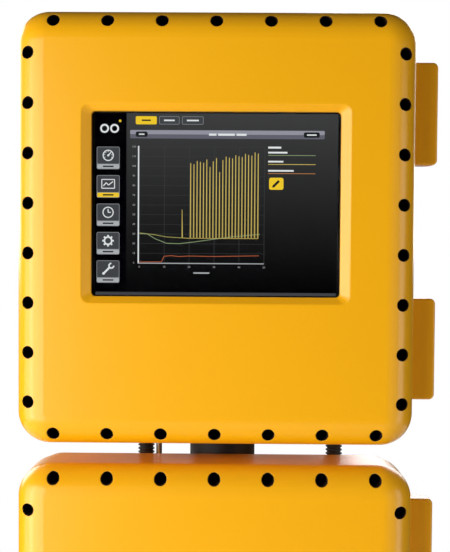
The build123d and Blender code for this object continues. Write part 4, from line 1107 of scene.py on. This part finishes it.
def make_board():
    """The controller board with its components, in place of the plain solid."""
    board = Assembly()
    board.box(at(-150, BOARD_FRONT, -10), at(80, BOARD_BACK, 160), "circuit_board", 0.2)
    for entry in CHIPS:
        add_chip(board, *entry)
    for entry in HOUSED:
        add_block(board, *entry, rounding=0.5)
    for entry in PLUGS:
        add_plug(board, *entry)
    for step in range(24):
        for row in (0, 1):
            pin = at(-77.5 + step * 2.4, BOARD_FRONT + 10.0, 8.6 + 2.6 * row)
            board.box(pin, pin + Vector((0.7, -0.6, 0.7)), "brass")
    for x, rise, radius in CANS:
        can = ((radius, 0.0), (radius, 9.2), (0.9 * radius, 10.0), (0.62 * radius, 10.0))
        sleeve = ((1.03 * radius, 0.0), (1.03 * radius, 8.6))
        board.turned(at(x, BOARD_FRONT, rise), FRONT, can, "bare_aluminium")
        board.turned(at(x, BOARD_FRONT + 0.02, rise), FRONT, sleeve, "black_plastic")
    for step in range(46):
        column, row = step % 12, step // 12
        x = -90 + column * 8.2 + 3 * math.sin(5.0 * step)
        rise = 20 + row * 7.4 + 1.5 * math.sin(3.0 * step)
        if -64 < x < 14 and rise > 46:
            continue
        finish = "black_plastic" if step % 3 else "white_ceramic"
        add_block(board, (x, x + 2.6), (rise, rise + 1.4), 0.9, finish, 0.1)
    for step in range(30):
        start = -146 + 7.4 * step
        turn = 118 - 2.2 * (step % 9)
        end = min(start + 9 + step % 5, 79)
        for spans in (((start, start + 0.5), (2, turn)), ((start, end), (turn, turn + 0.5))):
            add_block(board, *spans, TRACK_HEIGHT, "circuit_track")
        board.turned(at(start + 0.25, BOARD_FRONT, 2), FRONT, ((0.9, 0.0), (0.8, 0.08)), "brass", 12)
    for x in (-144, 74):
        for rise in (-4, 154):
            board.turned(at(x, BOARD_FRONT, rise), FRONT, ((4.6, 0.0), (4.6, 0.08)), "brass")
            board.screw(at(x, BOARD_FRONT + 0.08, rise), FRONT, 3.0)
    for step, finish in enumerate(("green_lamp", "green_lamp", "amber_lamp")):
        rise = 20 + 6 * step
        add_block(board, (66, 69), (rise, rise + 2), 1.6, finish, 0.3)
    piece = board.place("controller_board_fitted", "enclosures", "circuit_board")
    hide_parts("controller_board")


def make_terminals():
    """Clamping screws, wire entries, number tags and end stops of the terminal row."""
    low, high = box_of("terminal_blocks")
    middle = (low.z + high.z) / 2
    pitch, gap = 10.0, 0.6
    screw_rise, entry_rise, end_rise = 20.0, 26.0, 22.0
    ledge = high.y - 22.0
    count = round((high.x - low.x + gap) / pitch)
    centres = [low.x + index * pitch + (pitch - gap) / 2 for index in range(count)]
    row = Assembly()
    for x in centres:
        for side in (-1, 1):
            rise = middle + side * screw_rise
            row.turned((x, ledge + 8.0, rise), FRONT, ((2.5, 0.0), (2.5, 3.4), (2.1, 4.0)), "zinc_plate")
            row.box((x - 1.9, ledge + 3.9, rise - 0.35), (x + 1.9, ledge + 4.4, rise + 0.35),
                    "black_plastic")
            face = middle + side * entry_rise
            row.box((x - 2.6, ledge + 5.0, face - 0.1), (x + 2.6, ledge + 12.0, face + 0.1),
                    "black_plastic")
        row.box((x - 3.9, low.y - 0.4, middle - 3.4), (x + 3.9, low.y, middle + 3.4),
                "white_ceramic", 0.15)
    for left, right in ((low.x - 7.5, low.x - 0.4), (high.x + 0.4, high.x + 7.5)):
        row.box((left, ledge, middle - end_rise), (right, high.y, middle + end_rise), "black_plastic", 0.6)
        row.screw(((left + right) / 2, ledge, middle), FRONT, 2.8)
    row.place("terminal_fittings", "enclosures", "zinc_plate")
    tags = bmesh.new()
    for number, x in enumerate(centres, 1):
        add_figures(tags, str(number), Vector((x, low.y - 0.45, middle)) * MM, 4.6 * MM)
    make_piece("terminal_numbers", tags, [finish_for("black_plastic")], "enclosures", 0.0)


def add_figures(bm, text, centre, size):
    """A plain number that faces the front, centred on a point."""
    curve = bpy.data.curves.new("figures", "FONT")
    curve.body = text
    curve.size = size
    curve.align_x = "CENTER"
    curve.align_y = "CENTER"
    curve.resolution_u = 2
    holder = bpy.data.objects.new("figures", curve)
    bpy.context.scene.collection.objects.link(holder)
    bpy.context.view_layer.update()
    mesh = bpy.data.meshes.new_from_object(holder)
    faces = []
    for polygon in mesh.polygons:
        corners = [mesh.vertices[index].co for index in polygon.vertices]
        faces.append(bm.faces.new([bm.verts.new(centre + Vector((co.x, 0.0, co.y))) for co in corners]))
    bpy.data.objects.remove(holder)
    bpy.data.curves.remove(curve)
    bpy.data.meshes.remove(mesh)
    return faces


def make_supply():
    """A dark plate behind the supply's slots, which paints the shade inside them, and its terminal strip,
    lamp and cover screws.
    """
    low, high = box_of("power_supply")
    supply = Assembly()
    # Painted shade: a thin black plate just behind the front makes the slots read dark.
    supply.box((low.x + 4.0, low.y + 5.6, low.z + 4.0), (high.x - 4.0, low.y + 5.9, high.z - 4.0),
               "black_plastic")
    supply.corner_screws(low, high, 6.0, 6.0, 2.6)
    base = high.z
    supply.box((low.x + 8.0, high.y - 24.0, base), (high.x - 8.0, high.y - 4.0, base + 9.0),
               "black_plastic", 0.5)
    ways = 9
    pitch = (high.x - low.x - 20.0) / ways
    for way in range(ways + 1):
        x = low.x + 10.0 + way * pitch
        supply.box((x - 0.6, high.y - 26.0, base), (x + 0.6, high.y - 4.0, base + 12.0),
                   "black_plastic", 0.2)
        if way < ways:
            supply.screw((x + pitch / 2, high.y - 24.0, base + 4.6), FRONT, 3.0)
    lamp = ((1.8, 0.0), (1.8, 0.6), (1.2, 1.3))
    supply.turned((high.x - 12.0, low.y, high.z - 12.0), FRONT, lamp, "green_lamp", 16)
    supply.place("power_supply_fittings", "enclosures", "black_plastic")


def make_display_driver():
    """The board on the back of the display's bracket."""
    low, high = box_of("display_bracket")
    height = (low.z + high.z) / 2
    back = high.y
    board = Assembly()
    board.box((-82.0, back + 4.0, height - 46.0), (82.0, back + 5.6, height + 46.0), "circuit_board", 0.2)
    behind = back + 5.6
    for x in (-76.0, 76.0):
        for rise in (-40.0, 40.0):
            spot = Vector((x, back, height + rise))
            board.turned(spot, -FRONT, ((3.0, 0.0), (3.0, 4.0)), "brass", 6)
            board.screw(spot - FRONT * 5.6, -FRONT, 2.8)
    blocks = (
        (-60, -34, -20, 6, 2.0, "black_plastic"), (-10, 12, -14, 8, 2.4, "black_plastic"),
        (30, 66, -30, -20, 3.0, "white_ceramic"), (-70, -30, 24, 34, 3.0, "white_ceramic"),
        (24, 34, 0, 12, 3.0, "bare_aluminium"), (42, 54, 4, 16, 3.0, "black_plastic"),
        (10, 60, 28, 36, 3.0, "green_plastic"),
    )
    for left, right, bottom, top, tall, finish in blocks:
        board.box((left, behind, height + bottom), (right, behind + tall, height + top), finish, 0.3)
    for step in range(22):
        x = -74 + 6.7 * step
        rise = height - 36 + 4 * (step % 4)
        board.box((x, behind, rise), (x + 2.4, behind + 0.9, rise + 1.3), "black_plastic", 0.1)
        board.box((x, behind, height - 44.0), (x + 0.5, behind + TRACK_HEIGHT, rise), "circuit_track")
    board.place("display_driver_board", "upper_door", "circuit_board")


FLOW_LINE = -90.0
NUT_RADIUS = 7.0
NUT_LENGTH = 11.0


def make_pipe_nuts():
    """Compression nuts where the sample tubes meet the blocks, the pump and the cell."""
    manifold_low, manifold_high = box_of("valve_manifold")
    pump_low, pump_high = box_of("sample_pump")
    heater_low, heater_high = box_of("preheater")
    cell_low, _ = box_of("cell_block")
    branch = -14.0
    inlet_rise = cell_low.z + 16.0
    spots = [((x, FLOW_LINE, manifold_low.z), -UP) for x in (-150.0, -105.0, -60.0)]
    spots += [
        ((-60.0, FLOW_LINE, manifold_high.z), UP),
        ((-60.0, FLOW_LINE, pump_low.z), -UP),
        ((pump_high.x, FLOW_LINE, (pump_low.z + pump_high.z) / 2), RIGHT),
        ((branch, FLOW_LINE, heater_high.z), UP),
        ((branch, FLOW_LINE, heater_low.z), -UP),
        ((cell_low.x, FLOW_LINE, inlet_rise), -RIGHT),
        ((60.0, -107.0, cell_low.z), -UP),
    ]
    nuts = Assembly()
    for spot, axis in spots:
        nuts.nut(spot, axis, NUT_RADIUS, NUT_LENGTH)
    nuts.place("pipe_nuts", "enclosures", "brass")


def make_pump_fittings():
    """Screws and a cover plate on the pump, ribs and a bright band round its motor."""
    pump_low, pump_high = box_of("sample_pump")
    motor_low, motor_high = box_of("pump_motor")
    height = (motor_low.z + motor_high.z) / 2
    works = Assembly()
    works.corner_screws(pump_low, pump_high, 7.0, 8.0, 3.4)
    works.box((pump_low.x + 13.0, pump_low.y - 1.2, pump_low.z + 13.0),
              (pump_high.x - 13.0, pump_low.y, pump_high.z - 13.0), "bare_aluminium", 0.5)
    rib = ((22.2, 0.0), (22.9, 0.4), (22.9, 1.6), (22.2, 2.0))
    for x in (motor_low.x + 8.0, motor_low.x + 12.0, motor_high.x - 12.0, motor_high.x - 8.0):
        works.turned((x, FLOW_LINE, height), RIGHT, rib, "black_aluminium", 48)
    band = ((22.1, 0.0), (22.35, 0.3), (22.35, 33.7), (22.1, 34.0))
    works.turned((motor_low.x + 18.0, FLOW_LINE, height), RIGHT, band, "bare_aluminium", 48)
    works.place("pump_fittings", "enclosures", "steel")


def make_valve_fittings():
    """Coil nuts, plugs and cable entries of the solenoid valves, and manifold screws."""
    low, high = box_of("solenoid_valves")
    manifold_low, manifold_high = box_of("valve_manifold")
    fittings = Assembly()
    for x in (-153.0, -121.0, -89.0):
        coil_nut = ((8.2, 0.0), (8.6, 0.5), (8.6, 3.0), (8.0, 3.6))
        fittings.turned((x, FLOW_LINE, high.z - 5.9), UP, coil_nut, "steel", 6)
        plug = high.z - 34.0
        fittings.box((x - 9.0, low.y - 9.0, plug), (x + 9.0, low.y, plug + 20.0), "grey_plastic", 1.2)
        fittings.screw((x, low.y - 9.0, plug + 13.0), FRONT, 2.0)
        entry = ((3.6, 0.0), (3.6, 3.0), (3.0, 4.0))
        fittings.turned((x, low.y - 4.5, plug), -UP, entry, "black_plastic", 8)
    for x in (-160.0, -135.0, -78.0, -53.0):
        fittings.screw((x, manifold_low.y, (manifold_low.z + manifold_high.z) / 2), FRONT, 3.4, "steel")
    fittings.place("valve_fittings", "enclosures", "grey_plastic")


def make_cell_fittings():
    """Screws of the block and the preheater, and the preheater's ribs."""
    low, high = box_of("cell_block")
    heater_low, heater_high = box_of("preheater")
    fittings = Assembly()
    fittings.corner_screws(low, high, 8.0, 10.0, 4.0, "steel")
    fittings.corner_screws(heater_low, heater_high, 7.0, 8.0, 2.8, "steel")
    for step in range(7):
        z = heater_low.z + 14.0 + 6.0 * step
        fittings.box((heater_low.x + 12.0, heater_low.y - 1.0, z),
                     (heater_high.x - 12.0, heater_low.y, z + 2.6), "bare_aluminium", 0.3)
    fittings.place("cell_fittings", "enclosures", "steel")


def make_lid_fittings():
    """Lid screws, and the bands and terminals of the stirrer motor."""
    low, high = box_of("cell_lid")
    motor_low, motor_high = box_of("stirrer_motor")
    plate_top = low.z + 8.0
    centre_x, centre_y = (motor_low.x + motor_high.x) / 2, (motor_low.y + motor_high.y) / 2
    fittings = Assembly()
    for x, y in ((low.x + 9.0, high.y - 9.0), (high.x - 9.0, low.y + 9.0)):
        fittings.screw((x, y, plate_top), UP, 3.6, "steel")
    band = ((11.1, 0.0), (11.5, 0.4), (11.5, 2.2), (11.1, 2.6))
    for rise in (12.0, 50.0):
        fittings.turned((centre_x, centre_y, plate_top + rise), UP, band, "black_plastic", 40)
    for side in (-1, 1):
        x = centre_x + side * 3.6
        top = motor_high.z
        fittings.box((x - 0.5, centre_y - 1.4, top), (x + 0.5, centre_y + 1.4, top + 4.0), "brass", 0.1)
    fittings.place("lid_fittings", "cell_lid", "steel")


# ---------------------------------------------------------------- studio
FLOOR_GAP = 2.0 * MM
FLOOR_LIFT = 0.45
FADE_START = 0.45
FADE_END = 0.97


def mixed_shader(tree, factor, first, second):
    """A Mix Shader node between two shaders."""
    node = tree.nodes.new("ShaderNodeMixShader")
    for socket, operand in zip(node.inputs, (factor, first, second)):
        feed(tree, socket, operand)
    return node.outputs[0]


def make_floor(sizes):
    """A round pale floor that fades to the white background at its rim."""
    low, high = Vector(CAD_BOX[0]), Vector(CAD_BOX[1])
    bm = bmesh.new()
    bmesh.ops.create_circle(bm, cap_ends=True, radius=sizes.floor_radius, segments=96)
    mesh = bpy.data.meshes.new("floor")
    bm.to_mesh(mesh)
    bm.free()
    floor = bpy.data.objects.new("floor", mesh)
    floor.location = ((low.x + high.x) / 2, (low.y + high.y) / 2, low.z - FLOOR_GAP)
    bpy.context.scene.collection.objects.link(floor)
    material, tree, shader = new_material("floor_card")
    fill(tree, shader, Base_Color=opaque(linear(226, 226, 224)), Roughness=0.9)
    reach = tree.nodes.new("ShaderNodeVectorMath")
    reach.operation = "LENGTH"
    tree.links.new(object_place(tree), reach.inputs[0])
    start = FADE_START * sizes.floor_radius
    rim = maths(tree, "SUBTRACT", reach.outputs["Value"], start)
    rim = maths(tree, "DIVIDE", rim, FADE_END * sizes.floor_radius - start, clamp=True)
    white = tree.nodes.new("ShaderNodeEmission")
    clear = tree.nodes.new("ShaderNodeBsdfTransparent")
    path = tree.nodes.new("ShaderNodeLightPath")
    seen = maths(tree, "MAXIMUM", path.outputs["Is Camera Ray"], path.outputs["Is Glossy Ray"])
    seen = maths(tree, "MAXIMUM", seen, path.outputs["Is Transmission Ray"])
    rim = maths(tree, "MAXIMUM", rim, maths(tree, "MULTIPLY", path.outputs["Is Camera Ray"], FLOOR_LIFT))
    outer = mixed_shader(tree, seen, clear.outputs[0], white.outputs[0])
    mix = mixed_shader(tree, rim, shader.outputs[0], outer)
    tree.links.new(mix, tree.nodes["Material Output"].inputs["Surface"])
    floor.data.materials.append(material)


SKY_LOW = 0.10
SKY_HIGH = 0.12
GLOSS_FRONT = 0.015
CARD_EDGE = 0.86
CARD_FADE = 4.0
CARD_SIDE = 5.0


def make_world():
    """A white background, dim even light, and a white card behind that only metal and glass show."""
    world = bpy.data.worlds.new("studio")
    bpy.context.scene.world = world
    world.use_nodes = True
    tree = world.node_tree
    tree.nodes.clear()
    result = tree.nodes.new("ShaderNodeOutputWorld")
    view = parts_of(tree, tree.nodes.new("ShaderNodeTexCoord").outputs["Generated"])
    path = tree.nodes.new("ShaderNodeLightPath")
    low = maths(tree, "MULTIPLY", view["Z"], -0.5)
    low = maths(tree, "ADD", low, 0.5, clamp=True)
    ambient = maths(tree, "ADD", maths(tree, "MULTIPLY", low, SKY_LOW - SKY_HIGH), SKY_HIGH)
    behind = maths(tree, "SUBTRACT", view["Y"], CARD_EDGE)
    behind = maths(tree, "DIVIDE", behind, 1.0 - CARD_EDGE)
    raised = maths(tree, "MULTIPLY", maths(tree, "MAXIMUM", view["Z"], 0.0), CARD_FADE)
    behind = maths(tree, "SUBTRACT", behind, raised)
    aside = maths(tree, "MULTIPLY", maths(tree, "MAXIMUM", view["X"], 0.0), CARD_SIDE)
    behind = maths(tree, "SUBTRACT", behind, aside, clamp=True)
    behind = maths(tree, "MAXIMUM", behind, GLOSS_FRONT)
    sharp = maths(tree, "MAXIMUM", path.outputs["Is Glossy Ray"], path.outputs["Is Transmission Ray"])
    dim = tree.nodes.new("ShaderNodeMix")
    tree.links.new(sharp, dim.inputs[0])
    tree.links.new(ambient, dim.inputs[2])
    tree.links.new(behind, dim.inputs[3])
    strength = maths(tree, "MAXIMUM", dim.outputs[0], path.outputs["Is Camera Ray"])
    background = tree.nodes.new("ShaderNodeBackground")
    background.inputs["Color"].default_value = (1.0, 1.0, 1.0, 1.0)
    tree.links.new(strength, background.inputs["Strength"])
    tree.links.new(background.outputs[0], result.inputs["Surface"])


def aim(thing, target):
    """Turns a lamp so that it faces a point."""
    run = Vector(target) - thing.location
    thing.rotation_euler = run.to_track_quat("-Z", "Y").to_euler()


SOFTBOXES = (
    ("left_key", (-1.32, -1.65, 0.03), (0.0, -0.2, 0.1), (1.9, 1.7), 41.5),
    ("left_side", (-2.29, -0.90, -0.10), (0.0, -0.2, 0.0), (1.6, 1.8), 25.0),
    ("right_front", (1.45, -2.00, 0.0), (0.2, -0.2, 0.1), (1.2, 1.6), 3.0),
    ("right_side", (2.10, -1.05, -0.10), (0.2, -0.2, 0.0), (0.9, 1.7), 10.8),
    ("rear_left", (-2.10, 1.90, 1.00), (0.0, 0.0, 0.1), (1.6, 1.6), 42.0),
    ("rear_right", (1.10, 2.30, 1.00), (0.0, 0.0, 0.1), (1.6, 1.6), 30.0),
)


def make_lamps():
    """Large soft lamps to the left and the right, in front and behind."""
    for name, place, target, size, power in SOFTBOXES:
        lamp = bpy.data.lights.new(name, "AREA")
        lamp.shape = "RECTANGLE"
        lamp.size, lamp.size_y = size
        lamp.energy = power
        holder = bpy.data.objects.new(name, lamp)
        holder.location = place
        aim(holder, target)
        bpy.context.scene.collection.objects.link(holder)


CAMERA_PLACE = (0.029, -1.770, 0.2455)
CAMERA_TURN = (87.56, -0.375, 0.65)
CAMERA_LENS = 79.4
CAMERA_SHIFT = 0.065


def make_camera():
    """The camera, a little right of the middle and a little above the lower edge of the screen."""
    camera = bpy.data.cameras.new("camera")
    camera.sensor_width = 36.0
    camera.lens = CAMERA_LENS
    camera.shift_y = CAMERA_SHIFT
    camera.clip_end = 50.0
    holder = bpy.data.objects.new("camera", camera)
    holder.location = CAMERA_PLACE
    holder.rotation_euler = [math.radians(degrees) for degrees in CAMERA_TURN]
    bpy.context.scene.collection.objects.link(holder)
    bpy.context.scene.camera = holder


# ---------------------------------------------------------------- operators
SHARP_ANGLE = math.radians(32.0)


class ANALYSER_OT_stage(bpy.types.Operator):
    """Build the floor, the background, the lamps and the camera"""

    bl_idname = "analyser.stage"
    bl_label = "Studio"

    def execute(self, context):
        make_floor(context.scene.analyser_sizes)
        make_world()
        make_lamps()
        make_camera()
        context.scene.view_settings.view_transform = "Standard"
        return {"FINISHED"}


class ANALYSER_OT_finishes(bpy.types.Operator):
    """Give every CAD node the finish of its material slot"""

    bl_idname = "analyser.finishes"
    bl_label = "Finishes"

    def execute(self, context):
        for part in frame["record"]["subparts"]:
            node = frame["nodes"][part["node"]]
            node.data.materials.clear()
            node.data.materials.append(finish_for(part["material_slot"]))
            node.data.shade_smooth()
            node.data.set_sharp_from_angle(angle=SHARP_ANGLE)
        return {"FINISHED"}


class ANALYSER_OT_liners(bpy.types.Operator):
    """Line the screw bores of both doors with dark sleeves that paint the shade inside them"""

    bl_idname = "analyser.liners"
    bl_label = "Bore liners"

    def execute(self, context):
        make_liners("upper")
        make_liners("lower")
        return {"FINISHED"}


class ANALYSER_OT_screen(bpy.types.Operator):
    """Draw the lit picture of the display"""

    bl_idname = "analyser.screen"
    bl_label = "Screen picture"

    def execute(self, context):
        make_screen()
        return {"FINISHED"}


class ANALYSER_OT_controls(bpy.types.Operator):
    """Fit out the controller board, the terminals, the power supply and the display's driver"""

    bl_idname = "analyser.controls"
    bl_label = "Control fittings"

    def execute(self, context):
        make_board()
        make_terminals()
        make_supply()
        make_display_driver()
        return {"FINISHED"}


class ANALYSER_OT_sampling(bpy.types.Operator):
    """Fit out the sample system and the measuring cell"""

    bl_idname = "analyser.sampling"
    bl_label = "Sampling fittings"

    def execute(self, context):
        make_pipe_nuts()
        make_pump_fittings()
        make_valve_fittings()
        make_cell_fittings()
        make_lid_fittings()
        return {"FINISHED"}


OPERATORS = (
    ANALYSER_OT_stage,
    ANALYSER_OT_finishes,
    ANALYSER_OT_liners,
    ANALYSER_OT_screen,
    ANALYSER_OT_controls,
    ANALYSER_OT_sampling,
)


class ANALYSER_PT_panel(bpy.types.Panel):
    """Lists the sizes, the colours and the building steps"""

    bl_idname = "ANALYSER_PT_panel"
    bl_label = "Flash point analyser"
    bl_space_type = "VIEW_3D"
    bl_region_type = "UI"
    bl_category = "Analyser"

    def draw(self, context):
        for group in (context.scene.analyser_sizes, context.scene.analyser_colours):
            for key in group.__annotations__:
                self.layout.prop(group, key)
        for operator in OPERATORS:
            self.layout.operator(operator.bl_idname)


CLASSES = (AnalyserSizes, AnalyserColours, *OPERATORS, ANALYSER_PT_panel)


def register():
    """Registers the classes and hangs the settings on the scene."""
    for entry in CLASSES:
        bpy.utils.register_class(entry)
    bpy.types.Scene.analyser_sizes = PointerProperty(type=AnalyserSizes)
    bpy.types.Scene.analyser_colours = PointerProperty(type=AnalyserColours)


def unregister():
    """Removes the settings and the classes."""
    del bpy.types.Scene.analyser_colours
    del bpy.types.Scene.analyser_sizes
    for entry in reversed(CLASSES):
        bpy.utils.unregister_class(entry)


def main():
    """Builds everything in order."""
    register()
    for operator in OPERATORS:
        group, name = operator.bl_idname.split(".")
        getattr(getattr(bpy.ops, group), name)()


if __name__ == "__main__":
    main()
